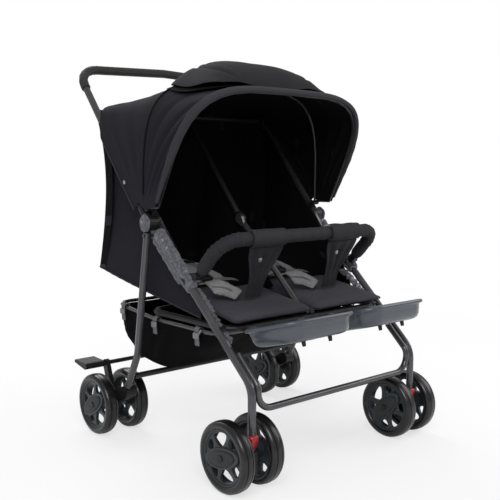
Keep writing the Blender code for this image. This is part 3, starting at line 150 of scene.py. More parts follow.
class Paint:
    """A material under construction, whose nodes all come from one method."""

    def __init__(self, name: str) -> None:
        """Starts an empty node tree under that name."""
        self.material = bpy.data.materials.new(name)
        self.material.use_nodes = True
        self.tree = self.material.node_tree
        self.tree.nodes.clear()

    def node(
        self,
        kind: str,
        settings: dict[str, object] | None = None,
        inputs: dict[str | int, object] | None = None,
        output: str | int = 0,
    ) -> Shade:
        """Adds a node.

        Args:
            kind: the node's type.
            settings: its properties, set first, and "stops" for a ramp.
            inputs: values or links of its sockets.
            output: the output to return.

        Returns:
            That output.
        """
        node = self.tree.nodes.new(kind)
        for key, value in (settings or {}).items():
            if key == "stops":
                ramp = node.color_ramp.elements
                ramp[0].position, ramp[0].color = value[0]
                ramp[1].position, ramp[1].color = value[1]
            else:
                setattr(node, key, value)
        for key, value in (inputs or {}).items():
            if isinstance(value, Shade):
                self.tree.links.new(value.socket, node.inputs[key])
            else:
                node.inputs[key].default_value = value
        return Shade(self, node.outputs[output] if len(node.outputs) else None)

    def place(self) -> Shade:
        """The place on the piece in metres."""
        return self.node("ShaderNodeTexCoord", output="Object")

    def axes(self, place: Shade) -> tuple[Shade, Shade, Shade]:
        """Splits a vector into its three values."""
        split = self.node("ShaderNodeSeparateXYZ", inputs={0: place})
        outputs = split.socket.node.outputs
        return tuple(Shade(self, outputs[i]) for i in range(3))

    def noise(self, scale: float, detail: float = 2.0, stretch: Sequence[float] | None = None) -> Shade:
        """Adds a noise texture on the piece's own coordinates.

        Args:
            scale: cells for each metre.
            detail: octaves.
            stretch: factors along the three axes.

        Returns:
            A value around 0.5.
        """
        place = self.place()
        if stretch is not None:
            place = self.node(
                "ShaderNodeVectorMath", {"operation": "MULTIPLY"}, {0: place, 1: tuple(stretch)}
            )
        return self.node("ShaderNodeTexNoise", None, {"Vector": place, "Scale": scale, "Detail": detail})

    def blend(self, factor: Shade | float, first: object, second: object) -> Shade:
        """Mixes two colours by factor."""
        return self.node(
            "ShaderNodeMix",
            {"data_type": "RGBA"},
            {"Factor": factor, 6: first, 7: second},
            output=2,
        )

    def bump(self, height: Shade, depth: float, strength: float = 1.0) -> Shade:
        """A normal bent by height, which stands for depth metres at 1."""
        return self.node("ShaderNodeBump", None, {"Height": height, "Distance": depth, "Strength": strength})

    def surface(self, inputs: dict[str, object]) -> bpy.types.Material:
        """Ends the material with a Principled surface that has those inputs.

        Args:
            inputs: values or links by socket name.

        Returns:
            The finished material.
        """
        shader = self.node("ShaderNodeBsdfPrincipled", None, inputs)
        self.node("ShaderNodeOutputMaterial", None, {"Surface": shader})
        return self.material


def rgba(colour: Sequence[float], gain: float = 1.0) -> tuple[float, float, float, float]:
    """A colour as four values, each of the first three times gain."""
    return tuple(min(1.0, c * gain) for c in colour) + (1.0,)


class Finish:
    """A material that is made once and then shared."""

    made: dict[str, bpy.types.Material] = {}
    name: str
    slot: str

    def paint(self) -> bpy.types.Material:
        """Makes the material."""
        raise NotImplementedError

    @property
    def material(self) -> bpy.types.Material:
        """The shared material, made at its first use."""
        if self.name not in self.made:
            self.made[self.name] = self.paint()
        return self.made[self.name]


@dataclass(frozen=True)
class Fabric(Finish):
    """Woven or knitted cloth: threads, flecks, soft creases and a sheen."""

    name: str
    slot: str
    colour: tuple[float, float, float]
    fleck: tuple[float, float, float]
    fleck_share: float = 0.3
    fleck_scale: float = 900.0
    pitch: float = 0.0011
    thread_depth: float = 0.00012
    crease_depth: float = 0.0016
    crease_scale: float = 9.0
    roughness: float = 0.82
    sheen: float = 0.1
    gloss: float = 0.16

    def paint(self) -> bpy.types.Material:
        """Makes the cloth's material."""
        p = Paint(self.name)
        x, y, z = p.axes(p.place())
        turns = 2 * math.pi / self.pitch
        warp = ((x + y * 0.83) * turns).sine()
        weft = ((z + y * 0.37 - x * 0.11) * turns).sine()
        weave = warp * weft
        broad = p.noise(5.0, 3.0)
        crease = p.noise(self.crease_scale, 3.0, (1.0, 1.0, 0.55))
        fleck = p.noise(self.fleck_scale, 1.0).ramp(0.62 - self.fleck_share * 0.4, 0.72)
        colour = p.blend(fleck * self.fleck_share, rgba(self.colour), rgba(self.fleck))
        colour = p.blend(broad.ramp(0.35, 0.7) * 0.35, colour, rgba(self.colour, 0.62))
        colour = p.blend(weave.ramp(-1.0, 1.0) * 0.22, colour, rgba(self.colour, 1.7))
        normal = p.bump(crease, self.crease_depth)
        threads = p.node(
            "ShaderNodeBump", None, {
                "Height": weave, "Distance": self.thread_depth, "Strength": 0.8, "Normal": normal
            }
        )
        return p.surface(
            {
                "Base Color": colour,
                "Roughness": broad * 0.16 + (self.roughness - 0.08),
                "Normal": threads,
                "Sheen Weight": self.sheen,
                "Sheen Roughness": 0.45,
                "Sheen Tint": rgba(self.fleck, 1.6),
                "Specular IOR Level": self.gloss,
            }
        )


@dataclass(frozen=True)
class Ringed(Finish):
    """Knitted strip with a mottled ground and loose rings of dark yarn."""

    name: str
    slot: str
    pale: tuple[float, float, float]
    dark: tuple[float, float, float]
    cells: float = 46.0
    pitch: float = 0.0021

    def paint(self) -> bpy.types.Material:
        """Makes the knit's material."""
        p = Paint(self.name)
        x, y, z = p.axes(p.place())
        knit = ((y + z * 0.4) * (2 * math.pi / self.pitch)).sine() * (
            (z - y * 0.6 + x) * (2 * math.pi / self.pitch)
        ).sine()
        flat = p.node("ShaderNodeCombineXYZ", None, {"X": x * 0.1, "Y": y, "Z": z}, output="Vector")
        reach = p.node(
            "ShaderNodeTexVoronoi", None, {
                "Vector": flat, "Scale": self.cells, "Randomness": 0.35
            }, output="Distance"
        )
        wobble = p.noise(120.0, 3.0)
        reach = reach + wobble * 0.06
        ring = reach.ramp(0.24, 0.29) * (1 - reach.ramp(0.36, 0.42))
        dot = 1 - reach.ramp(0.20, 0.25)
        flecks = p.noise(150.0, 2.0).ramp(0.44, 0.60)
        ground = p.blend(flecks * 0.6, rgba(self.pale, 0.34), rgba(self.pale, 0.8))
        colour = p.blend(ring * 0.9, ground, rgba(self.pale, 1.3))
        colour = p.blend(dot * 0.95, colour, rgba(self.dark))
        colour = p.blend(knit.ramp(-1.0, 1.0) * 0.25, colour, rgba(self.dark, 1.5))
        crease = p.bump(p.noise(34.0, 3.0), 0.002)
        stitch = p.node("ShaderNodeBump", None, {"Height": knit + ring, "Distance": 0.0003, "Normal": crease})
        return p.surface(
            {
                "Base Color": colour,
                "Roughness": wobble * 0.15 + 0.7,
                "Normal": stitch,
                "Sheen Weight": 0.12,
                "Specular IOR Level": 0.25,
            }
        )


@dataclass(frozen=True)
class Coating(Finish):
    """Powder coat on steel: a fine orange peel and rubbed, lighter places."""

    name: str
    slot: str
    colour: tuple[float, float, float]
    metallic: float = 0.55
    roughness: float = 0.38
    peel: float = 0.00004

    def paint(self) -> bpy.types.Material:
        """Makes the coat's material."""
        p = Paint(self.name)
        broad = p.noise(14.0, 4.0)
        rub = p.noise(60.0, 5.0, (1.0, 1.0, 0.25)).ramp(0.6, 0.78)
        peel = p.noise(1400.0, 1.0)
        colour = p.blend(broad.ramp(0.3, 0.75), rgba(self.colour, 0.86), rgba(self.colour, 1.12))
        colour = p.blend(rub * 0.3, colour, rgba(self.colour, 1.8))
        return p.surface(
            {
                "Base Color": colour,
                "Metallic": self.metallic,
                "Roughness": (rub * -0.08) + broad * 0.12 + (self.roughness - 0.05),
                "Normal": p.bump(peel, self.peel),
                "Coat Weight": 0.35,
                "Coat Roughness": 0.16,
            }
        )


@dataclass(frozen=True)
class Moulding(Finish):
    """Moulded plastic: a fine grain, flow marks and scuffs."""

    name: str
    slot: str
    colour: tuple[float, float, float]
    roughness: float = 0.48
    grain: float = 0.00005
    grain_scale: float = 1500.0
    coat: float = 0.0
    gloss: float = 0.3

    def paint(self) -> bpy.types.Material:
        """Makes the plastic's material."""
        p = Paint(self.name)
        broad = p.noise(11.0, 3.0)
        scuff = p.noise(160.0, 6.0, (1.0, 0.3, 1.0)).ramp(0.63, 0.8)
        grain = p.noise(self.grain_scale, 2.0)
        colour = p.blend(broad.ramp(0.3, 0.7), rgba(self.colour, 0.88), rgba(self.colour, 1.1))
        colour = p.blend(scuff * 0.25, colour, rgba(self.colour, 1.9))
        return p.surface(
            {
                "Base Color": colour,
                "Roughness": scuff * 0.15 + broad * 0.1 + (self.roughness - 0.05),
                "Normal": p.bump(grain, self.grain),
                "Coat Weight": self.coat,
                "Coat Roughness": 0.12,
                "Specular IOR Level": self.gloss,
            }
        )


@dataclass(frozen=True)
class Rubber(Finish):
    """Tyre or foam: open cells, dust in the low places."""

    name: str
    slot: str
    colour: tuple[float, float, float]
    dust: tuple[float, float, float]
    roughness: float = 0.62
    cell_scale: float = 1100.0
    cell_depth: float = 0.0001
    coat: float = 0.0

    def paint(self) -> bpy.types.Material:
        """Makes the rubber's material."""
        p = Paint(self.name)
        dust = p.noise(38.0, 5.0).ramp(0.5, 0.75)
        cells = p.node(
            "ShaderNodeTexVoronoi", None, {"Vector": p.place(), "Scale": self.cell_scale}, output="Distance"
        )
        colour = p.blend(dust * 0.4, rgba(self.colour), rgba(self.dust))
        return p.surface(
            {
                "Base Color": colour,
                "Roughness": dust * 0.2 + (self.roughness - 0.06),
                "Normal": p.bump(cells, self.cell_depth),
                "Specular IOR Level": 0.25,
                "Coat Weight": self.coat,
                "Coat Roughness": 0.2,
            }
        )


class Finishes:
    """Every finish of the stroller."""

    canopy = Fabric("canopy_nylon", "canopy_cloth", (0.0088, 0.0083, 0.0128), (0.032, 0.03, 0.046), sheen=0.1)
    rim = Fabric("rim_nylon", "canopy_cloth", (0.030, 0.029, 0.034), (0.07, 0.068, 0.078), sheen=0.12)
    hood = Fabric("hood_nylon", "canopy_cloth", (0.0195, 0.019, 0.0225), (0.05, 0.05, 0.058), sheen=0.12)
    lining = Fabric(
        "padded_nylon", "black_cloth", (0.0155, 0.0155, 0.018), (0.045, 0.045, 0.052), sheen=0.16, gloss=0.3
    )
    inner = Fabric(
        "inner_nylon", "black_cloth", (0.0042, 0.0034, 0.0038), (0.013, 0.0105, 0.0115), sheen=0.0, gloss=0.06
    )
    basket = Fabric(
        "basket_nylon", "black_cloth", (0.0022, 0.0022, 0.0026), (0.008, 0.008, 0.009), sheen=0.0, gloss=0.06
    )
    dark_heather = Fabric(
        "dark_heather", "black_cloth", (0.030, 0.029, 0.036), (0.125, 0.122, 0.145), 0.55, 620.0,
        crease_scale=13.0
    )
    heather = Fabric(
        "grey_heather", "grey_cloth", (0.17, 0.165, 0.165), (0.42, 0.41, 0.41), 0.6, 560.0,
        pitch=0.0016, sheen=0.1
    )
    mottled = Ringed("mottled_knit", "grey_cloth", (0.24, 0.245, 0.28), (0.022, 0.025, 0.036))
    webbing = Fabric(
        "grey_webbing", "grey_cloth", (0.12, 0.12, 0.13), (0.24, 0.24, 0.26), 0.4, 800.0, pitch=0.0017,
        thread_depth=0.00025, crease_depth=0.0003,
    )
    tube = Coating("graphite_coat", "frame_tube", (0.064, 0.062, 0.067), roughness=0.24)
    wire = Coating("black_wire_coat", "bow_wire", (0.009, 0.009, 0.010), 0.3, 0.45)
    snap_metal = Coating("bright_snap", "frame_tube", (0.42, 0.42, 0.44), 1.0, 0.34, 0.00001)
    foam = Rubber("grip_foam", "grip_foam", (0.026, 0.026, 0.025), (0.05, 0.05, 0.048), 0.7, 1700.0)
    tyre = Rubber(
        "tyre_rubber", "tyre", (0.0052, 0.0052, 0.0056), (0.016, 0.016, 0.0155), 0.36, 900.0, 0.00004, 0.5
    )
    black = Moulding("black_moulding", "black_plastic", (0.010, 0.010, 0.011), 0.42)
    cap = Moulding("cap_moulding", "black_plastic", (0.024, 0.026, 0.027), 0.55, 0.00008, 800.0)
    hub = Moulding("hub_moulding", "hub_plastic", (0.024, 0.030, 0.034), 0.36, coat=0.12)
    red = Moulding("red_moulding", "red_plastic", (0.30, 0.006, 0.012), 0.3, 0.00001, coat=0.5)
    tray = Moulding("tray_moulding", "tray_plastic", (0.050, 0.059, 0.072), 0.30, 0.00006, 900.0, coat=0.5)
    clip = Moulding("clip_moulding", "tray_plastic", (0.16, 0.16, 0.165), 0.4, coat=0.2)


class Mesher:
    """Turns points and faces into pieces that ride on the frame."""

    @staticmethod
    def piece(
        name: str, points: np.ndarray, faces: Sequence[Sequence[int]], finish: Finish, sharp: float = 40.0
    ) -> bpy.types.Object:
        """Makes one closed piece.

        Args:
            name: the piece's name.
            points: its points, one row each.
            faces: indices of each face's points.
            finish: its finish.
            sharp: the angle in degrees from which an edge stays sharp.

        Returns:
            The piece.
        """
        mesh = bpy.data.meshes.new(name)
        mesh.from_pydata([tuple(map(float, p)) for p in points], [], [list(f) for f in faces])
        bm = bmesh.new()
        bm.from_mesh(mesh)
        bmesh.ops.remove_doubles(bm, verts=bm.verts, dist=2e-5)
        bmesh.ops.dissolve_degenerate(bm, edges=bm.edges, dist=1e-6)
        bmesh.ops.recalc_face_normals(bm, faces=bm.faces)
        bm.to_mesh(mesh)
        bm.free()
        mesh.polygons.foreach_set("use_smooth", [True] * len(mesh.polygons))
        mesh.set_sharp_from_angle(angle=math.radians(sharp))
        obj = bpy.data.objects.new(name, mesh)
        bpy.context.scene.collection.objects.link(obj)
        mesh.materials.append(finish.material)
        return obj

    @staticmethod
    def grid_faces(
        rows: int, columns: int, wrap: bool, first: int = 0, flip: bool = False
    ) -> list[tuple[int, ...]]:
        """Faces of a grid of points.

        Args:
            rows: how many rows of points.
            columns: how many in each row.
            wrap: whether the last column joins the first.
            first: the index of the first point.
            flip: whether the faces look the other way.

        Returns:
            The faces.
        """
        faces = []
        for i in range(rows - 1):
            for j in range(columns if wrap else columns - 1):
                k = (j + 1) % columns
                face = (
                    first + i * columns + j,
                    first + i * columns + k,
                    first + (i + 1) * columns + k,
                    first + (i + 1) * columns + j,
                )
                faces.append(face[::-1] if flip else face)
        return faces

    @classmethod
    def capped_faces(cls, rows: int, columns: int) -> list[tuple[int, ...]]:
        """Faces of closed rings of points, with the first and the last ring capped."""
        last = (rows - 1) * columns
        caps = [tuple(range(columns))[::-1], tuple(last + j for j in range(columns))]
        return cls.grid_faces(rows, columns, True) + caps

    @classmethod
    def stack(
        cls, name: str, layers: Sequence[np.ndarray], finish: Finish, sharp: float = 40.0
    ) -> bpy.types.Object:
        """Joins closed rings in their order and caps both ends.

        Args:
            name: the piece's name.
            layers: the rings, each with as many points.
            finish: the finish.
            sharp: the angle in degrees from which an edge stays sharp.

        Returns:
            The piece.
        """
        grid = np.array(layers)
        faces = cls.capped_faces(*grid.shape[:2])
        return cls.piece(name, grid.reshape(-1, 3), faces, finish, sharp)

    @classmethod
    def shell(
        cls,
        name: str,
        grid: np.ndarray,
        thickness: float,
        finish: Finish,
        wrap: bool = False,
        inner: Finish | None = None,
    ) -> bpy.types.Object:
        """Makes a sheet with a thickness from a grid of its outer face.

        Args:
            name: the piece's name.
            grid: points as rows, columns and three axes.
            thickness: how far the other face lies against the grid's normal.
            finish: the finish.
            wrap: whether the columns close.
            inner: the finish of the other face, if it has its own.

        Returns:
            The piece.
        """
        rows, columns = grid.shape[:2]
        back = grid - normals(grid, wrap) * thickness
        points = np.concatenate([grid.reshape(-1, 3), back.reshape(-1, 3)])
        count = rows * columns
        faces = cls.grid_faces(rows, columns, wrap)
        faces += cls.grid_faces(rows, columns, wrap, count, True)
        for j in range(columns if wrap else columns - 1):
            k = (j + 1) % columns
            faces.append((k, j, count + j, count + k))
            top = (rows - 1) * columns
            faces.append((top + j, top + k, count + top + k, count + top + j))
        if not wrap:
            for i in range(rows - 1):
                a, b = i * columns, (i + 1) * columns
                faces.append((a, b, count + b, count + a))
                a, b = a + columns - 1, b + columns - 1
                faces.append((b, a, count + a, count + b))
        obj = cls.piece(name, points, faces, finish)
        if inner is not None:
            cls.second_face(obj, back.reshape(-1, 3), inner)
        return obj

    @staticmethod
    def second_face(obj: bpy.types.Object, back: np.ndarray, finish: Finish) -> None:
        """Gives the faces whose points all lie on back another finish.

        Args:
            obj: the piece.
            back: the points of its other face.
            finish: that face's finish.
        """
        keys = {tuple(round(float(c), 5) for c in p) for p in back}
        mesh = obj.data
        mesh.materials.append(finish.material)
        on_back = [tuple(round(c, 5) for c in v.co) in keys for v in mesh.vertices]
        for polygon in mesh.polygons:
            if all(on_back[i] for i in polygon.vertices):
                polygon.material_index = 1

    @classmethod
    def sweep(
        cls,
        name: str,
        path: np.ndarray,
        outline: np.ndarray,
        finish: Finish,
        up: Sequence[float] | None = None,
        closed: bool = False,
        sharp: float = 40.0,
    ) -> bpy.types.Object:
        """Moves an outline along a path.

        Args:
            name: the piece's name.
            path: the path's points.
            outline: pairs of (side, up) for all points, or one list for each.
            finish: the finish.
            up: a direction that the outline's second axis keeps to, or none for the least twist.
            closed: whether the path closes.
            sharp: the angle in degrees from which an edge stays sharp.

        Returns:
            The piece.
        """
        path = np.asarray(path, float)
        sides, ups = frames(path, up, closed)
        outline = np.asarray(outline, float)
        if outline.ndim == 2:
            outline = np.repeat(outline[None], len(path), axis=0)
        grid = path[:, None] + outline[..., :1] * sides[:, None] + outline[..., 1:] * ups[:, None]
        rows, columns = grid.shape[:2]
        if closed:
            grid = np.concatenate([grid, grid[:1]])
            rows += 1
        faces = cls.grid_faces(rows, columns, True) if closed else cls.capped_faces(rows, columns)
        return cls.piece(name, grid.reshape(-1, 3), faces, finish, sharp)

    @classmethod
    def turned(
        cls, name: str, profile: Sequence[Sequence[float]], finish: Finish, centre: Sequence[float],
        sides: int = 64
    ) -> bpy.types.Object:
        """Turns a closed profile of (radius, x) about an axle along X.

        Args:
            name: the piece's name.
            profile: the profile's corners.
            finish: the finish.
            centre: a point on the axle.
            sides: how many steps round.

        Returns:
            The piece.
        """
        profile = np.asarray(profile, float)
        angles = np.linspace(0, 2 * math.pi, sides, endpoint=False)
        grid = np.zeros((sides + 1, len(profile), 3))
        for i, a in enumerate(list(angles) + [0.0]):
            grid[i, :, 0] = profile[:, 1] + centre[0]
            grid[i, :, 1] = profile[:, 0] * math.cos(a) + centre[1]
            grid[i, :, 2] = profile[:, 0] * math.sin(a) + centre[2]
        return cls.piece(
            name, grid.reshape(-1, 3), cls.grid_faces(sides + 1, len(profile), True), finish, 32.0
        )


def normals(grid: np.ndarray, wrap: bool = False) -> np.ndarray:
    """Unit normals of a grid.

    Args:
        grid: points as rows, columns and three axes.
        wrap: whether the columns close.

    Returns:
        A normal for each point.
    """
    if wrap:
        across = np.roll(grid, -1, axis=1) - np.roll(grid, 1, axis=1)
    else:
        across = np.gradient(grid, axis=1)
    along = np.gradient(grid, axis=0)
    n = np.cross(across, along)
    length = np.linalg.norm(n, axis=2, keepdims=True)
    middle = n.sum(axis=(0, 1))
    middle /= max(np.linalg.norm(middle), 1e-9)
    return np.where(length > 1e-12, n / np.maximum(length, 1e-12), middle)


def facing_sign(grid: np.ndarray, axis: int) -> float:
    """1 where a grid's middle faces up that axis and -1 where it faces down it."""
    middle = grid.shape[0] // 2, grid.shape[1] // 2
    return 1.0 if normals(grid)[middle][axis] > 0 else -1.0


def frames(path: np.ndarray, up: Sequence[float] | None, closed: bool) -> tuple[np.ndarray, np.ndarray]:
    """Side and up directions along a path.

    Args:
        path: the path's points.
        up: a direction to keep to, or none for the least twist.
        closed: whether the path closes.

    Returns:
        The sides and the ups.
    """
    if closed:
        along = np.roll(path, -1, axis=0) - np.roll(path, 1, axis=0)
    else:
        along = np.gradient(path, axis=0)
    along /= np.linalg.norm(along, axis=1, keepdims=True)
    if up is not None:
        sides = np.cross(along, np.asarray(up, float))
        sides /= np.linalg.norm(sides, axis=1, keepdims=True)
        return sides, np.cross(sides, along)
    start = np.array([0.0, 0.0, 1.0]) if abs(along[0, 2]) < 0.9 else np.array([0.0, 1.0, 0.0])
    side = np.cross(along[0], start)
    sides = np.zeros_like(path)
    for i, direction in enumerate(along):
        side = side - direction * (side @ direction)
        side /= np.linalg.norm(side)
        sides[i] = side
    return sides, np.cross(sides, along)


def rounded(points: Sequence[Sequence[float]], radii: float | Sequence[float], steps: int = 8) -> np.ndarray:
    """A path whose inner corners are rounded.

    Args:
        points: the path's corners.
        radii: the radius of every bend, or one for each.
        steps: how many steps in each.

    Returns:
        The path's points.
    """
    points = [np.asarray(p, float) for p in points]
    path = [points[0]]
    radii = [radii] * (len(points) - 2) if isinstance(radii, float) else radii
    for before, corner, after, radius in zip(points, points[1:], points[2:], radii):
        a, b = before - corner, after - corner
        a, b = a / np.linalg.norm(a), b / np.linalg.norm(b)
        half = math.acos(np.clip(a @ b, -1, 1)) / 2
        reach = radius / math.tan(half)
        middle = corner + (a + b) / np.linalg.norm(a + b) * (radius / math.sin(half))
        start, end = corner + a * reach - middle, corner + b * reach - middle
        angle = math.acos(np.clip(start @ end / radius**2, -1, 1))
        for i in range(steps + 1):
            t = i / steps
            path.append(
                middle + (start * math.sin((1 - t) * angle) + end * math.sin(t * angle)) / math.sin(angle)
            )
    return np.array(path + [points[-1]])


def even(path: np.ndarray, count: int) -> np.ndarray:
    """Points at even distances along a path.

    Args:
        path: the path's points.
        count: how many to return.

    Returns:
        The new points.
    """
    steps = np.r_[0, np.cumsum(np.linalg.norm(np.diff(path, axis=0), axis=1))]
    places = np.linspace(0, steps[-1], count)
    return np.stack([np.interp(places, steps, path[:, k]) for k in range(path.shape[1])], axis=1)


def spline(points: Sequence[Sequence[float]], count: int) -> np.ndarray:
    """An even, smooth path through points.

    Args:
        points: the points that it passes.
        count: how many points to return.

    Returns:
        The path's points.
    """
    p = np.asarray(points, float)
    p = np.concatenate([2 * p[:1] - p[1:2], p, 2 * p[-1:] - p[-2:-1]])
    parts = []
    for a, b, c, d in zip(p, p[1:], p[2:], p[3:]):
        t = np.linspace(0, 1, 12, endpoint=False)[:, None]
        parts.append(
            0.5 * (2 * b + (c - a) * t + (2 * a - 5 * b + 4 * c - d) * t**2 + (3 * b - a - 3 * c + d) * t**3)
        )
    return even(np.concatenate(parts + [p[-2:-1]]), count)


def circle(radius: float, sides: int = 24, stretch: float = 1.0) -> np.ndarray:
    """A round or oval outline."""
    a = np.linspace(0, 2 * math.pi, sides, endpoint=False)
    return np.stack([radius * np.cos(a), radius * stretch * np.sin(a)], axis=1)


def slab(half_width: float, half_height: float, radius: float, steps: int = 4) -> np.ndarray:
    """A rectangle's outline with rounded corners.

    Args:
        half_width: half of its width.
        half_height: half of its height.
        radius: the corners' radius.
        steps: steps in each corner.

    Returns:
        The outline's points.
    """
    points = []
    for k, (sx, sy) in enumerate(((1, 1), (-1, 1), (-1, -1), (1, -1))):
        for i in range(steps + 1):
            a = math.pi / 2 * (k + i / steps)
            points.append(
                (
                    sx * (half_width - radius) + radius * math.cos(a),
                    sy * (half_height - radius) + radius * math.sin(a),
                )
            )
    return np.array(points)


def smooth(low: float, high: float, value: np.ndarray | float) -> np.ndarray:
    """Rises smoothly from 0 at low to 1 at high."""
    t = np.clip((np.asarray(value, float) - low) / (high - low), 0, 1)
    return t * t * (3 - 2 * t)


def bell(value: np.ndarray, middle: np.ndarray | float, width: float) -> np.ndarray:
    """A bell curve that is 1 at its middle."""
    return np.exp(-(((value - middle) / width) ** 2))


def creased(
    grid: np.ndarray, depth: float, size: float, stretch: Sequence[float] = (1, 1, 1), wrap: bool = False
) -> np.ndarray:
    """Moves a grid along its normals by a soft noise.

    Args:
        grid: points as rows, columns and three axes.
        depth: the greatest move.
        size: the creases' size in metres.
        stretch: factors on the three axes before the noise.
        wrap: whether the columns close.

    Returns:
        The moved grid.
    """
    flat = grid.reshape(-1, 3) / size * np.asarray(stretch, float)
    moves = np.array([noise.noise(Vector(p)) for p in flat]).reshape(grid.shape[:2])
    return grid + normals(grid, wrap) * (moves * depth)[..., None]


def puff(obj: bpy.types.Object, cap: float, voxel: float = 0.0055, pressure: float = 4.0) -> None:
    """Blows a closed piece up a little with a cloth simulation, and then smooths it.

    Args:
        obj: the piece, which gets the new mesh.
        cap: how far a point may move.
        voxel: the size of the mesh's new faces.
        pressure: the pressure inside.
    """
    scene = bpy.context.scene
    remesh = obj.modifiers.new("remesh", "REMESH")
    remesh.mode, remesh.voxel_size = "VOXEL", voxel
    apply_modifiers(obj)
    before = np.array([v.co for v in obj.data.vertices])
    cloth = obj.modifiers.new("cloth", "CLOTH")
    cloth.settings.use_pressure = True
    cloth.settings.uniform_pressure_force = pressure
    cloth.settings.effector_weights.gravity = 0.0
    cloth.point_cache.frame_start, cloth.point_cache.frame_end = 1, 20
    for number in range(1, 21):
        scene.frame_set(number)
    moved = obj.evaluated_get(bpy.context.evaluated_depsgraph_get())
    after = np.array([v.co for v in moved.data.vertices])
    obj.modifiers.clear()
    scene.frame_set(1)
    move = after - before
    move -= np.median(move, axis=0)
    length = np.linalg.norm(move, axis=1, keepdims=True)
    move *= cap * np.tanh(length / cap) / np.maximum(length, 1e-9)
    obj.data.vertices.foreach_set("co", (before + move).ravel())
    subdivide(obj, 1)


def apply_modifiers(obj: bpy.types.Object) -> None:
    """Makes the piece's modified mesh its own mesh."""
    moved = obj.evaluated_get(bpy.context.evaluated_depsgraph_get())
    mesh = bpy.data.meshes.new_from_object(moved)
    obj.modifiers.clear()
    obj.data = mesh
    mesh.polygons.foreach_set("use_smooth", [True] * len(mesh.polygons))


def subdivide(obj: bpy.types.Object, levels: int) -> None:
    """Smooths a piece with subdivision."""
    modifier = obj.modifiers.new("smooth", "SUBSURF")
    modifier.levels = modifier.render_levels = levels
    apply_modifiers(obj)


def tilt(points: np.ndarray, origin: Sequence[float], angle: float) -> np.ndarray:
    """Turns points about the X axis and moves them to origin.

    Args:
        points: the points.
        origin: where the local origin goes.
        angle: the turn in radians.

    Returns:
        The new points.
    """
    c, s = math.cos(angle), math.sin(angle)
    points = np.asarray(points, float)
    turned = np.stack(
        [
            points[..., 0], points[..., 1] * c - points[..., 2] * s, points[..., 1] * s + points[..., 2] * c
        ], axis=-1
    )
    return turned + np.asarray(origin, float)


@dataclass(frozen=True)
class Layout:
    """Places that several sub-assemblies share, in metres in the frame's own axes."""

    hinge: tuple[float, float, float] = (0.0, 0.040, 0.585)
    handle_reach: float = 0.353
    handle_rise: float = 0.414
    handle_half_width: float = 0.300
    leg_radius: float = 0.0095
    cross_radius: float = 0.008
    pivot_along: float = 0.030
    pivot_off: float = 0.021
    cloth: float = 0.0024
    seat_x: float = 0.135
    leg_run: float = 0.328
    leg_drop: float = 0.305
    leg_inset: float = 0.019
    leg_top_z: float = 0.555
    knee_x: float = 0.2825
    knee_z: float = 0.2391
    foot_y: float = -0.332

    @property
    def handle_length(self) -> float:
        """The handle's length from the hinge to its bar."""
        return math.hypot(self.handle_reach, self.handle_rise)

    @property
    def up_handle(self) -> np.ndarray:
        """The direction up the handle."""
        return np.array([0.0, self.handle_reach, self.handle_rise]) / self.handle_length

    @property
    def before_handle(self) -> np.ndarray:
        """The direction at a right angle to the handle, to the front and up."""
        return np.array([0.0, -self.handle_rise, self.handle_reach]) / self.handle_length

    @property
    def leg_direction(self) -> np.ndarray:
        """The direction down a front leg."""
        direction = np.array([0.0, -self.leg_run, -self.leg_drop])
        return direction / np.linalg.norm(direction)

    @property
    def bow_pivot(self) -> np.ndarray:
        """Where the canopy's bows turn."""
        return np.array(self.hinge) + self.up_handle * self.pivot_along + self.before_handle * self.pivot_off

    def along_handle(self, x: float, distance: float) -> np.ndarray:
        """A place on the handle's line.

        Args:
            x: the place across.
            distance: how far up from the hinge.

        Returns:
            The place.
        """
        return np.array(self.hinge) + self.up_handle * distance + np.array([x, 0.0, 0.0])

    def leg_x(self, z: float) -> float:
        """How far out a front leg is at a height."""
        top = self.handle_half_width - self.leg_inset + self.leg_radius
        share = min(1.0, max(0.0, (self.leg_top_z - z) / (self.leg_top_z - self.knee_z)))
        return top + share * (self.knee_x - top)

    def leg_y(self, z: float) -> float:
        """Where a front leg is, front to back, at a height."""
        return max(self.foot_y, self.hinge[1] - (self.hinge[2] - z) * self.leg_run / self.leg_drop)


LAYOUT = Layout()


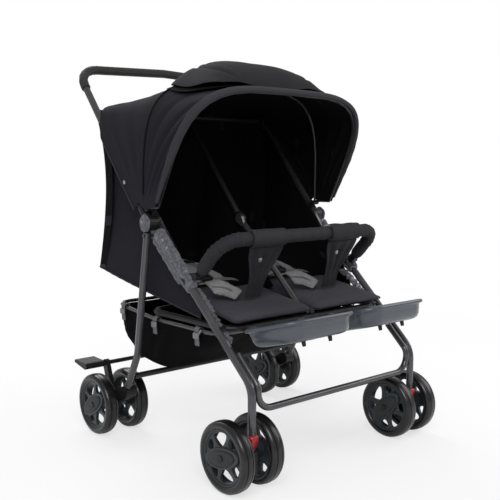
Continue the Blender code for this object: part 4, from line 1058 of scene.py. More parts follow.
@dataclass
class Canopy:
    """The canopy: two stretched panels over wire bows, a seam, a padded rim and a raised hood."""

    half_width: float = 0.3155
    columns: int = 97
    rows: int = 40
    front_base: tuple[float, float, float] = (0.0, -0.0085, 0.6255)
    front_top: tuple[float, float, float] = (0.0, -0.156, 0.908)
    mid_top: tuple[float, float, float] = (0.0, 0.034, 0.940)
    rear_along: float = 0.401
    rear_start: float = 0.055
    hood_top: float = 1.006
    hood_half: float = 0.232
    hood_front: float = -0.104
    hood_rear: float = 0.100
    hem_reach: float = 0.0285

    def arch(self, half: float, height: float, squareness: float) -> np.ndarray:
        """Even points of an arch from +X over to -X.

        Args:
            half: half of its width.
            height: its height.
            squareness: how square its shoulders are.

        Returns:
            Pairs of (x, rise).
        """
        a = np.linspace(0, math.pi, 721)
        c, s = np.cos(a), np.sin(a)
        x = np.sign(c) * np.abs(c) ** (2 / squareness) * half
        return even(np.stack([x, np.abs(s) ** (2 / squareness) * height], axis=1), self.columns)

    def section(self, where: str, grow: float = 0.008, half: float | None = None) -> np.ndarray:
        """A cross-section of the canopy's outside.

        Args:
            where: front, mid or rear.
            grow: how far outside the bow's middle the cloth lies.
            half: half of its width.

        Returns:
            The section's points.
        """
        half = self.half_width if half is None else half
        if where == "rear":
            lift = LAYOUT.leg_radius + 0.005 + (grow - 0.008)
            base = LAYOUT.along_handle(0, self.rear_start) + LAYOUT.before_handle * lift
            pairs = self.arch(half, self.rear_along - self.rear_start + (grow - 0.008), 9.0)
            up = LAYOUT.up_handle
        else:
            base = np.array(self.front_base) if where == "front" else LAYOUT.bow_pivot
            top = np.array(self.front_top if where == "front" else self.mid_top)
            rise = np.linalg.norm(top - base)
            up = (top - base) / rise
            pairs = self.arch(half, rise + grow, 4.2)
        return base + pairs[:, 1:] * up + pairs[:, :1] * np.array([1.0, 0.0, 0.0])

    def height_share(self) -> np.ndarray:
        """0 at the hubs and 1 at the top for each column."""
        u = np.linspace(0, 1, self.columns)
        return np.minimum(u, 1 - u) * 2

    def between(self, one: np.ndarray, other: np.ndarray, droop: float) -> np.ndarray:
        """A panel between two sections that hangs a little between them.

        Args:
            one: the first section.
            other: the second.
            droop: how far it hangs.

        Returns:
            The panel's grid.
        """
        t = np.linspace(0, 1, self.rows)[:, None, None]
        grid = one[None] * (1 - t) + other[None] * t
        away = grid - LAYOUT.bow_pivot
        away[..., 0] = 0
        length = np.linalg.norm(away, axis=2, keepdims=True)
        fade = smooth(0.06, 0.2, length)
        return grid - away / np.maximum(length, 1e-6) * np.sin(np.pi * t) * droop * fade

    def front_panel(self) -> bpy.types.Object:
        """The panel between the front bow and the middle one, with folds from the hubs."""
        grid = self.between(self.section("front"), self.section("mid"), 0.007)
        t = np.linspace(0, 1, self.rows)[:, None]
        d = self.height_share()[None]
        folds = np.zeros((self.rows, self.columns))
        for start, slope, width, depth in (
            (0.90, 1.45, 0.060, 0.0060),
            (0.66, 1.55, 0.055, 0.0065),
            (0.42, 1.35, 0.050, 0.0050),
            (1.02, 0.85, 0.075, 0.0035),
        ):
            folds += bell(t, start - slope * d, width) * depth
        folds *= smooth(0.03, 0.12, d) * (1 - smooth(0.44, 0.75, d)) * np.sin(np.pi * np.clip(t, 0, 1)) ** 0.4
        grid = grid + normals(grid) * (-folds)[..., None] * facing_sign(grid, 2)
        grid = creased(grid, 0.0022, 0.09, (1, 1, 0.6))
        piece = Mesher.shell(
            "canopy_front_cloth", grid, facing_sign(grid, 2) * LAYOUT.cloth, Finishes.canopy,
            inner=Finishes.inner
        )
        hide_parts("canopy_front")
        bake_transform(piece)
        return piece

    def hem_row(self, rear: np.ndarray, share: float) -> np.ndarray:
        """One line of the hem that passes behind the handle's tubes, with room where a tube comes out.

        Args:
            rear: the rear section.
            share: 0 at the section and 1 at the hem's edge.

        Returns:
            The line's points.
        """
        along = (rear - np.array(LAYOUT.hinge)) @ LAYOUT.up_handle
        room = smooth(0.300, 0.322, along) * (1 - smooth(0.388, 0.397, along)) * smooth(
            0.272, 0.288, np.abs(rear[:, 0])
        )
        return rear - LAYOUT.before_handle * (self.hem_reach * share * (1 - 0.4 * room))[:, None]

    def rear_panel(self) -> list[bpy.types.Object]:
        """The panel between the middle bow and the handle with its hem, and the piping on the hem's edge."""
        rear = self.section("rear")
        grid = self.between(self.section("mid"), rear, 0.004)
        grid[..., 1] += 0.0008 * (1 - np.linspace(0, 1, self.rows))[:, None]
        t = np.linspace(0, 1, self.rows)[:, None]
        d = self.height_share()[None]
        reach = smooth(0.08, 0.25, d) * (1 - smooth(0.45, 0.9, d))
        folds = bell(t, 0.30 + 0.1 * d, 0.10) * 0.0020 + bell(t, 0.66 + 0.12 * d, 0.13) * 0.0032
        plain = grid + normals(grid) * (-folds * reach * np.sin(np.pi * t))[..., None] * facing_sign(grid, 2)
        fade = (1 - smooth(0.8, 0.97, t))[..., None]
        grid = creased(plain, 0.0024, 0.09, (1, 1, 0.6)) * fade + plain * (1 - fade)
        grid = np.concatenate([grid, [self.hem_row(rear, share) for share in (0.3, 0.6, 0.85, 1.0)]])
        piece = Mesher.shell(
            "canopy_rear_cloth", grid, facing_sign(grid, 2) * LAYOUT.cloth, Finishes.canopy,
            inner=Finishes.inner
        )
        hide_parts("canopy_rear")
        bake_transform(piece)
        edge = self.hem_row(rear, 1.0) - LAYOUT.before_handle * 0.0008
        piping = Mesher.sweep("canopy_rear_piping", even(edge, 150), circle(0.0017, 10), Finishes.rim)
        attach(piping, "handle")
        return [piece, piping]

    def seam(self) -> bpy.types.Object:
        """The dark seam over the middle bow."""
        path = self.section("mid", 0.0088, self.half_width + 0.0006)[3:-3]
        outline = slab(0.0032, 0.0009, 0.0008, 3)
        piece = Mesher.sweep("canopy_mid_seam", path, self.facing(path, outline), Finishes.inner)
        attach(piece, "canopy_mid")
        return piece

    def facing(self, path: np.ndarray, outline: np.ndarray) -> np.ndarray:
        """Turns an outline so that its first axis runs front to back along an arch.

        Args:
            path: the arch's points.
            outline: the outline's points.

        Returns:
            One outline for each point.
        """
        sides, ups = frames(path, None, False)
        out = np.zeros((len(path), len(outline), 2))
        across = np.array([1.0, 0.0, 0.0])
        along = np.gradient(path, axis=0)
        along /= np.linalg.norm(along, axis=1, keepdims=True)
        rise = path[len(path) // 2] - (path[0] + path[-1]) / 2
        flat = np.cross(rise / np.linalg.norm(rise), across)
        for i in range(len(path)):
            wide = flat - along[i] * (flat @ along[i])
            wide /= np.linalg.norm(wide)
            thick = np.cross(along[i], wide)
            for k, (a, b) in enumerate(outline):
                v = wide * a + thick * b
                out[i, k] = v @ sides[i], v @ ups[i]
        return out

    def rim(self) -> bpy.types.Object:
        """The padded band over the front bow, which narrows to the hubs."""
        path = self.section("front", 0.0068, self.half_width - 0.001)[1:-1]
        d = self.height_share()[1:-1]
        outline = slab(0.0108, 0.0062, 0.0058, 5)
        turned = self.facing(path, outline)
        widths = 0.5 + 0.5 * smooth(0.02, 0.3, d)
        wave = 1 + 0.09 * np.sin(np.arange(len(path)) * 1.9) * smooth(0.02, 0.1, d) * (
            1 - smooth(0.25, 0.5, d)
        )
        turned = turned * (widths * wave)[:, None, None]
        piece = Mesher.sweep("canopy_rim_band", path, turned, Finishes.rim)
        subdivide(piece, 1)
        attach(piece, "canopy_front_bow")
        return piece

    def roof(self, x: np.ndarray, y: np.ndarray) -> np.ndarray:
        """The height of the canopy's outside.

        Args:
            x: places across.
            y: places front to back.

        Returns:
            The heights.
        """
        heights = []
        for where in ("front", "mid", "rear"):
            section = self.section(where)
            middle = len(section) // 2
            half = section[middle:]
            order = np.argsort(np.abs(half[:, 0]))
            xs = np.abs(half[order, 0])
            heights.append(
                (np.interp(np.abs(x), xs, half[order, 1]), np.interp(np.abs(x), xs, half[order, 2]))
            )
        (ya, za), (yb, zb), (yc, zc) = heights
        front = za + (zb - za) * (y - ya) / (yb - ya)
        rear = zb + (zc - zb) * (y - yb) / (yc - yb)
        return np.where(y <= yb, front, rear)

    def over_roof(self, grow: float, count: tuple[int, int]) -> tuple[np.ndarray, np.ndarray, np.ndarray]:
        """A rounded plan on the roof.

        Args:
            grow: how far it is grown at its sides.
            count: its rows, front to back, and its columns.

        Returns:
            Its points on the roof, and their shares across and front to back.
        """
        w = np.linspace(-1, 1, count[0])[:, None] * np.ones((1, count[1]))
        u = np.linspace(-1, 1, count[1])[None] * np.ones((count[0], 1))
        x = u * (self.hood_half + grow) * (1 - 0.17 * np.abs(w) ** 2.4)
        middle, half = (
            self.hood_front + self.hood_rear
        ) / 2, (self.hood_rear - self.hood_front) / 2 + grow * 0.3
        y = middle + w * half * (1 - 0.12 * np.abs(u) ** 2.4)
        return np.stack([x, y, self.roof(x, y)], axis=2), u, w

    def hood(self) -> list[bpy.types.Object]:
        """The raised, puffed hood on top with its two seams, and a black sheet under its edges that paints the
        shadow beneath them.
        """
        grid, u, w = self.over_roof(0.0, (45, 81))
        dome = (1 - np.abs(w) ** 3.0) ** 0.62 * (1 - np.abs(u) ** 2.5) ** 0.9
        seam = (
            bell(np.abs(u), 0.67, 0.026) * 0.0075 + bell(np.abs(u), 0.54, 0.012) * 0.003
        ) * smooth(0.1, 0.5, dome)
        tuck = bell(u, -0.08, 0.045) * bell(w, -0.42, 0.16) * 0.0035
        side = (
            smooth(0.86, 1.0, np.abs(u)) * 0.0035
            + smooth(0.3, 0.7, np.abs(u)) * bell(w, -1.0, 0.45) * 0.0075
        )
        grid[..., 2] += 0.0042 + 0.0560 * dome - seam - tuck + side
        grid = creased(grid, 0.0026, 0.07)
        grid[..., 2] = np.minimum(grid[..., 2], self.hood_top + 0.0035)
        sign = facing_sign(grid, 2)
        piece = Mesher.shell(
            "canopy_hood_cloth", grid, sign * LAYOUT.cloth * 0.7, Finishes.hood, inner=Finishes.inner
        )
        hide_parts("canopy_scoop")
        # Painted shadow: a black sheet a little wider than the hood, laid just over the roof so that a dark band
        # shows under the hood's edges.
        shadow_sheet = self.over_roof(0.013, (33, 61))[0]
        shadow_sheet[..., 2] += 0.0016
        sign = facing_sign(shadow_sheet, 2)
        mesh = Mesher.shell("canopy_vent_cloth", shadow_sheet, sign * 0.0008, Finishes.inner)
        for one in (piece, mesh):
            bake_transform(one)
        return [piece, mesh]

    def snaps(self) -> list[bpy.types.Object]:
        """The bright snaps on the rear hem beside the handle."""
        pieces = []
        for side in Side:
            place = LAYOUT.along_handle(
                side.value * (self.half_width + 0.0002), 0.135
            ) - LAYOUT.before_handle * 0.002
            pieces.append(
                Snap(0.0052).build(f"hem_snap_{side.word}", tuple(place), (side.value, 0, 0), "handle")
            )
        return pieces

    def build(self) -> list[bpy.types.Object]:
        """Makes the canopy's pieces."""
        return [self.front_panel(), *self.rear_panel(), self.seam(), self.rim(), *self.hood(), *self.snaps()]


@dataclass
class Enclosure:
    """The cloth round both backs, and the cloth between the seats."""

    front_half: float = 0.2714
    rear_half: float = 0.2875
    slack: float = 0.038
    leg_bulge: float = 0.022
    sag: float = 0.006
    blend_start: tuple[float, float, float] = (0.0, 0.16, 0.45)
    blend_end: tuple[float, float, float] = (0.0, 0.10, 0.80)
    side_columns: int = 36
    end_columns: int = 90
    rows: int = 34

    def point(self, s: np.ndarray, v: np.ndarray) -> np.ndarray:
        """A place on a side wall.

        Args:
            s: 0 at the front and 1 at the head end.
            v: 0 at the low edge and 1 at the high one.

        Returns:
            Places with no width.
        """
        s, v = np.broadcast_arrays(np.asarray(s, float), np.asarray(v, float))
        low_a, low_b = np.array([0.0, -0.134, 0.366]), np.array([0.0, 0.322, 0.4535])
        behind = smooth(0.80, 0.93, s)[..., None]
        along = (-0.006 + 0.404 * s)[..., None]
        high = np.array(LAYOUT.hinge) + LAYOUT.up_handle * along + LAYOUT.before_handle * (
            0.013 - 0.0265 * behind
        )
        low = low_a + (low_b - low_a) * s[..., None]
        low[..., 2] -= self.sag * np.sin(np.pi * s) ** 0.8
        out = low + (high - low) * v[..., None]
        out[..., 1] -= (
            self.slack * np.sin(np.pi * v) * s * s
            + self.leg_bulge * np.sin(np.pi * v**0.8) * (1 - s) ** 1.5
        )
        return out

    def wall(self) -> list[bpy.types.Object]:
        """The two side walls and the head end in one piece, with hanging folds."""
        corner = 0.045
        v = np.linspace(0, 1, self.rows)[:, None]
        side_s = np.linspace(0, 1, self.side_columns, endpoint=False)
        columns = []
        for s in side_s:
            columns.append((-1.0, s, None))
        for u in np.linspace(0, 1, self.end_columns):
            columns.append((0.0, 1.0, u))
        for s in side_s[::-1]:
            columns.append((1.0, s, None))
        grid = np.zeros((self.rows, len(columns), 3))
        for j, (side, s, u) in enumerate(columns):
            place = self.point(np.full((self.rows,), s), v[:, 0])
            if u is None:
                flare = max(0.0, (s - 0.25) / 0.75)
                half = self.front_half * (1 - flare) + self.rear_half * flare
                place[:, 0] = side * half
                pull = 0.004 * math.sin(math.pi * s) * np.sin(np.pi * v[:, 0])
                place[:, 0] -= side * pull
            else:
                x = (2 * u - 1) * self.rear_half
                fade = math.sin(math.pi * u) ** 0.5
                fold = 0.0055 * math.cos(2 * math.pi * 5 * u) * fade * (1 - 0.6 * v[:, 0])
                edge = self.rear_half - abs(x)
                round_in = corner - math.sqrt(max(0.0, corner**2 - max(0.0, corner - edge) ** 2))
                place[:, 0] = x
                place[:, 1] += fold - round_in
            grid[:, j] = place
        plain = grid
        steps = np.minimum(np.arange(len(columns)), np.arange(len(columns))[::-1])
        fade = (smooth(4, 16, steps)[None] * (1 - smooth(0.88, 1.0, v)))[..., None]
        grid = creased(plain, 0.0035, 0.085, (1, 1, 0.5)) * fade + plain * (1 - fade)
        sign = facing_sign(grid, 1)
        piece = Mesher.shell(
            "enclosure_cloth", grid, sign * LAYOUT.cloth, Finishes.canopy, inner=Finishes.inner
        )
        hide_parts("seat_enclosure")
        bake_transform(piece)
        hem = Mesher.sweep(
            "enclosure_hem", even(grid[0], 190), self.hem_outline(190), Finishes.lining, sharp=180
        )
        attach(hem, "front_frame")
        return [piece, hem]

    def hem_outline(self, count: int) -> np.ndarray:
        """The low hem's outlines, thicker where it is turned over at the two corners of the head end."""
        share = np.abs(np.linspace(-1, 1, count))
        size = 0.0026 + 0.0030 * bell(share, 0.42, 0.035) + 0.0003 * np.sin(np.arange(count) * 1.7)
        return circle(1.0, 10)[None] * size[:, None, None]

    def floor(self) -> bpy.types.Object:
        """The cloth that closes the head end under the backs."""
        t = np.linspace(0, 1, 12)[:, None]
        u = np.linspace(-1, 1, 61)[None]
        x = u * (0.2600 - 0.012 * t)
        y = 0.3160 - 0.075 * t + 0 * u
        z = 0.4545 - 0.036 * t - 0.006 * np.sin(np.pi * t) + 0.0015 * np.cos(u * 17) * np.sin(np.pi * t)
        grid = np.stack([x, y, z], axis=2)
        sign = facing_sign(grid, 2)
        piece = Mesher.shell("enclosure_floor_cloth", grid, sign * 0.0016, Finishes.inner)
        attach(piece, "front_frame")
        return piece

    def clips(self) -> list[bpy.types.Object]:
        """The small moulded clips behind the handle's tubes that hold the cloth."""
        pieces = []
        for side in Side:
            layers = []
            for depth, scale in (
                (-0.010, 0.7), (-0.0085, 0.95), (-0.003, 1.0), (0.003, 1.0), (0.0085, 0.95), (0.010, 0.7)
            ):
                ring = slab(0.0125 * scale, 0.0066 * scale, 0.006 * scale, 5)
                centre = LAYOUT.along_handle(side.value * (LAYOUT.handle_half_width + depth), 0.268)
                layers.append(
                    centre + ring[:, :1] * LAYOUT.up_handle - (ring[:, 1:] + 0.0112) * LAYOUT.before_handle
                )
            piece = Mesher.stack(f"handle_clip_{side.word}", layers, Finishes.black)
            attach(piece, "handle")
            pieces.append(piece)
        return pieces

    def divider(self) -> bpy.types.Object:
        """The cloth between the two seats, under the centre tube."""
        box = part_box("seat_divider")
        low = np.array([[-0.094, 0.412], [-0.020, 0.376], [0.110, 0.370], [0.236, 0.410]])
        high = np.array([[0.045, 0.571], [0.095, 0.635], [0.150, 0.700], [0.196, 0.771]])
        a, b = spline(low, 25), spline(high, 25)
        t = np.linspace(0, 1, 22)[:, None, None]
        pairs = a[None] * (1 - t) + b[None] * t
        grid = np.concatenate([np.full(pairs.shape[:2] + (1,), LAYOUT.cloth / 2), pairs], axis=2)
        grid[..., 1] = np.clip(grid[..., 1], box[0][1] + 0.001, box[1][1] - 0.001)
        grid = creased(grid, 0.002, 0.05, (1, 1, 0.5))
        sign = facing_sign(grid, 0)
        piece = Mesher.shell("divider_cloth", grid, sign * LAYOUT.cloth, Finishes.inner)
        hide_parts("seat_divider")
        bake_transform(piece)
        return piece

    def build(self) -> list[bpy.types.Object]:
        """Makes the enclosure's pieces."""
        return [*self.wall(), self.floor(), self.divider(), *self.clips()]


@dataclass
class Cushion:
    """A crowned closed pad whose sides pull in between its corners."""

    half_x: float
    half_y: float
    top: float
    bottom: float
    corner: float
    pull: float = 0.004
    edge: float = 6.0
    rings: int = 14
    steps: int = 9

    def grid(self) -> tuple[np.ndarray, list[tuple[int, ...]]]:
        """The pad's points about its own middle, and its faces."""
        outline = []
        base = slab(self.half_x, self.half_y, self.corner, self.steps)
        dense = even(np.concatenate([base, base[:1]]), 97)[:-1]
        for x, y in dense:
            inward_x = self.pull * max(
                0.0, 1 - (y / self.half_y) ** 2
            ) * np.sign(x) * smooth(0.6, 1.0, abs(x) / self.half_x)
            inward_y = self.pull * max(
                0.0, 1 - (x / self.half_x) ** 2
            ) * np.sign(y) * smooth(0.6, 1.0, abs(y) / self.half_y)
            outline.append((x - inward_x, y - inward_y))
        outline = np.array(outline)
        shares = np.sin(np.linspace(0.06, 1, self.rings) * math.pi / 2)
        layers = []
        for sign, depth in ((1, self.top), (-1, self.bottom)):
            for r in shares if sign == 1 else shares[-2::-1]:
                z = sign * depth * max(0.0, 1 - r**self.edge) ** 0.5
                layers.append(np.column_stack([outline * r, np.full(len(outline), z)]))
        grid = np.array(layers)
        return grid.reshape(-1, 3), Mesher.capped_faces(len(layers), len(outline))

    def build(
        self, name: str, finish: Finish, origin: Sequence[float], angle: float, cap: float
    ) -> bpy.types.Object:
        """Makes the pad.

        Args:
            name: its name.
            finish: its finish.
            origin: where its middle goes.
            angle: its turn about X in radians.
            cap: how far the simulation may move a point.

        Returns:
            The piece.
        """
        points, faces = self.grid()
        piece = Mesher.piece(name, tilt(points, origin, angle), faces, finish, 180)
        puff(piece, cap)
        return piece


@dataclass
class Seats:
    """The two seats with their liners, the reclining backs, their pads and the harness."""

    inner_x: float = 0.0035
    outer_x: float = 0.2635
    front_y: float = -0.249
    rear_y: float = -0.026
    middle_z: float = 0.3875
    slope: float = math.radians(9.4)
    crease: tuple[float, float] = (-0.012, 0.402)
    rest_angle: float = math.radians(12)
    back_length: float = 0.296
    back_inner_x: float = 0.022
    pad_corners: tuple[tuple[float, float, float], ...] = (
        (-0.100, -0.136, 0.4165), (-0.111, -0.104, 0.4430), (-0.019, -0.146, 0.4150), (-0.046, -0.151, 0.4000)
    )
    back_outer_x: float = 0.254

    def seat(self, side: Side) -> list[bpy.types.Object]:
        """One seat's boxed cushion with its piping and gathered strip."""
        half_x, half_y = (self.outer_x - self.inner_x) / 2, (self.rear_y - self.front_y) / 2 / math.cos(self.slope)
        cushion = Cushion(half_x, half_y, 0.0105, 0.0085, 0.014, 0.0015, edge=14.0)
        origin = np.array(
            [side.value * (self.inner_x + self.outer_x) / 2, (self.front_y + self.rear_y) / 2, self.middle_z]
        )
        piece = cushion.build(f"seat_cushion_{side.word}", Finishes.dark_heather, origin, self.slope, 0.0025)
        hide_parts(f"seat_{side.word}")
        pieces = [piece]
        ring = slab(half_x - 0.0004, half_y - 0.0004, 0.0142, 8)
        ring = even(np.concatenate([ring, ring[:1]]), 161)[:-1]
        path = tilt(np.column_stack([ring, np.full(len(ring), 0.0012)]), origin, self.slope)
        pieces.append(
            Mesher.sweep(
                f"seat_piping_{side.word}", path, circle(0.0019, 8), Finishes.lining, (0, 0, 1), True, 180
            )
        )
        base = Cushion(half_x - 0.022, half_y - 0.02, 0.004, 0.004, 0.02, 0.0, edge=10.0)
        board = base.build(
            f"seat_board_{side.word}", Finishes.basket, origin + np.array([0, 0.004, -0.0135]), self.slope,
            0.001
        )
        pieces += [board, self.ruffle(side)]
        for one in pieces:
            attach(one, "front_frame")
        return pieces

    def ruffle(self, side: Side) -> bpy.types.Object:
        """The gathered knitted strip down the outer edge of one seat."""
        path = spline(
            [
                (0.2640, -0.092, 0.432), (0.2650, -0.122, 0.419), (0.2660, -0.158, 0.390),
                (0.2665, -0.195, 0.354), (0.2640, -0.2360, 0.319)
            ],
            150
        )
        path[:, 0] *= side.value
        s = np.linspace(0, 1, len(path))
        wave = np.sin(s * 2 * np.pi * 13)
        a = np.linspace(0, 2 * math.pi, 18, endpoint=False)
        size = 0.0078 * (
            1 + 0.20 * wave[:, None] * np.cos(a)[None] + 0.14 * np.sin(s * 61 + 1)[:, None] * np.sin(2 * a)[None]
        )
        ends = 0.45 + 0.55 * smooth(0, 0.05, s) * smooth(0, 0.05, 1 - s)
        outline = np.stack([np.cos(a), 1.35 * np.sin(a)], axis=1)[None] * (size * ends[:, None])[..., None]
        piece = Mesher.sweep(
            f"seat_ruffle_{side.word}", path, outline, Finishes.mottled, (1, 0, 0), sharp=180
        )
        return piece

    def belt_pad(self, side: Side) -> list[bpy.types.Object]:
        """The soft belt pad that lies beside the back, and the strap across it."""
        rows, columns = 23, 25
        u = np.linspace(0, 1, rows)[:, None, None]
        v = np.linspace(0, 1, columns)[None, :, None]
        a, b, c, d = (np.array(corner) for corner in self.pad_corners)
        grid = (a * (1 - v) + b * v) * (1 - u) + (d * (1 - v) + c * v) * u
        arch = np.sin(np.pi * u) * (0.001 + 0.017 * v)
        narrow = (v - 0.5) * 0.16 * np.sin(np.pi * u) * (b - a)
        grid = grid + arch * np.array([0, 0, 1]) - narrow + (
            np.sin(np.pi * v) * 0.006 * np.array([0, -0.7, 0.7])
        )
        grid[..., 0] += side.value * LAYOUT.seat_x
        sign = facing_sign(grid, 2)
        pad = Mesher.shell(
            f"belt_pad_{side.word}", creased(grid, 0.003, 0.035), -sign * 0.0065, Finishes.heather
        )
        subdivide(pad, 1)
        puff(pad, 0.003, 0.004)
        line = grid[2:-6, 13] + normals(grid)[2:-6, 13] * sign * 0.0042
        strap = Mesher.sweep(
            f"belt_strap_{side.word}", even(line, 20), slab(0.008, 0.0011, 0.0009, 2), Finishes.webbing,
            (-0.4, -0.2, 0.9)
        )
        for piece in (pad, strap):
            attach(piece, "front_frame")
        return [pad, strap]

    def local(self, side: Side, points: np.ndarray) -> np.ndarray:
        """Takes points from the back's own axes to the frame's.

        Args:
            side: the seat's side.
            points: across, up the back and out of its face.

        Returns:
            The places in the frame's axes.
        """
        origin = (side.value * LAYOUT.seat_x, self.crease[0], self.crease[1])
        return tilt(points, origin, self.rest_angle)

    def back(self, side: Side) -> list[bpy.types.Object]:
        """One back's board and the heather pad on it."""
        width = self.back_outer_x - self.back_inner_x
        board = Cushion(width / 2 - 0.002, self.back_length / 2 - 0.002, 0.009, 0.0105, 0.032, 0.003)
        origin = self.local(side, np.array([0.0, 0.016 + self.back_length / 2, -0.011]))
        one = board.build(f"back_board_{side.word}", Finishes.lining, origin, self.rest_angle, 0.003)
        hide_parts(f"backrest_{side.word}")
        length = self.back_length * 0.74
        pad = Cushion(width / 2 - 0.019, length / 2 - 0.002, 0.006, 0.0045, 0.066, 0.002)
        origin = self.local(side, np.array([0.0, 0.024 + length / 2, 0.0085]))
        other = pad.build(f"back_pad_{side.word}", Finishes.heather, origin, self.rest_angle, 0.003)
        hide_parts(f"seat_pad_{side.word}")
        for piece in (one, other):
            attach(piece, f"back_{side.word}")
        return [one, other]

    def strap(
        self, name: str, side: Side, points: Sequence[Sequence[float]], width: float
    ) -> bpy.types.Object:
        """A webbing strap that lies on the back's face.

        Args:
            name: its name.
            side: the seat's side.
            points: its middle line in the back's own axes.
            width: its width.

        Returns:
            The piece.
        """
        path = self.local(side, spline(points, 40))
        up = self.local(side, np.array([0.0, 0.0, 1.0])) - self.local(side, np.zeros(3))
        piece = Mesher.sweep(name, path, slab(width / 2, 0.0009, 0.0008, 2), Finishes.webbing, up=up)
        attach(piece, f"back_{side.word}")
        return piece

    def buckle(
        self, name: str, side: Side, place: Sequence[float], size: Sequence[float]
    ) -> bpy.types.Object:
        """A moulded buckle that lies on the back's face.

        Args:
            name: its name.
            side: the seat's side.
            place: its middle in the back's own axes.
            size: its width, length and thickness.

        Returns:
            The piece.
        """
        half_x, half_y, half_z = (s / 2 for s in size)
        layers = []
        for inset, z in (
            (0.0016, -half_z), (0.0, -half_z * 0.5), (0.0, half_z * 0.4), (0.0012, half_z * 0.85),
            (0.004, half_z)
        ):
            outline = slab(half_x - inset, half_y - inset, min(half_x, half_y) * 0.45 - inset * 0.3, 5)
            layers.append(np.column_stack([outline, np.full(len(outline), z)]))
        inner = slab(half_x * 0.45, half_y * 0.45, min(half_x, half_y) * 0.2, 5)
        layers.append(np.column_stack([inner, np.full(len(inner), half_z)]))
        layers.append(np.column_stack([inner * 0.8, np.full(len(inner), half_z * 0.45)]))
        grid = self.local(side, np.array(layers) + np.asarray(place, float))
        piece = Mesher.stack(name, grid, Finishes.black, 35)
        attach(piece, f"back_{side.word}")
        return piece

    def harness(self, side: Side) -> list[bpy.types.Object]:
        """Shoulder straps, waist straps and buckles of one seat."""
        word = side.word
        pieces = []
        for name, x in (("a", -0.05), ("b", 0.05)):
            points = [
                (x, 0.262, 0.0035), (x, 0.235, 0.012), (x, 0.20, 0.0172), (x * 0.98, 0.14, 0.0178),
                (x * 0.75, 0.09, 0.0172), (x * 0.3, 0.055, 0.0165)
            ]
            pieces.append(self.strap(f"shoulder_strap_{name}_{word}", side, points, 0.022))
            pieces.append(
                self.buckle(f"strap_slider_{name}_{word}", side, (x, 0.185, 0.0195), (0.03, 0.021, 0.0055))
            )
            waist = [
                (x * 2.0, 0.03, 0.012), (x * 1.5, 0.032, 0.0165), (x * 0.8, 0.036, 0.0178),
                (x * 0.3, 0.045, 0.0178)
            ]
            pieces.append(self.strap(f"waist_strap_{name}_{word}", side, waist, 0.02))
        pieces.append(self.buckle(f"harness_buckle_{word}", side, (0, 0.05, 0.021), (0.044, 0.036, 0.011)))
        return pieces

    def build(self) -> list[bpy.types.Object]:
        """Makes the pieces of both seats."""
        pieces = []
        for side in Side:
            pieces += self.seat(side)
            pieces += self.belt_pad(side)
            pieces += self.back(side)
            pieces += self.harness(side)
        return pieces


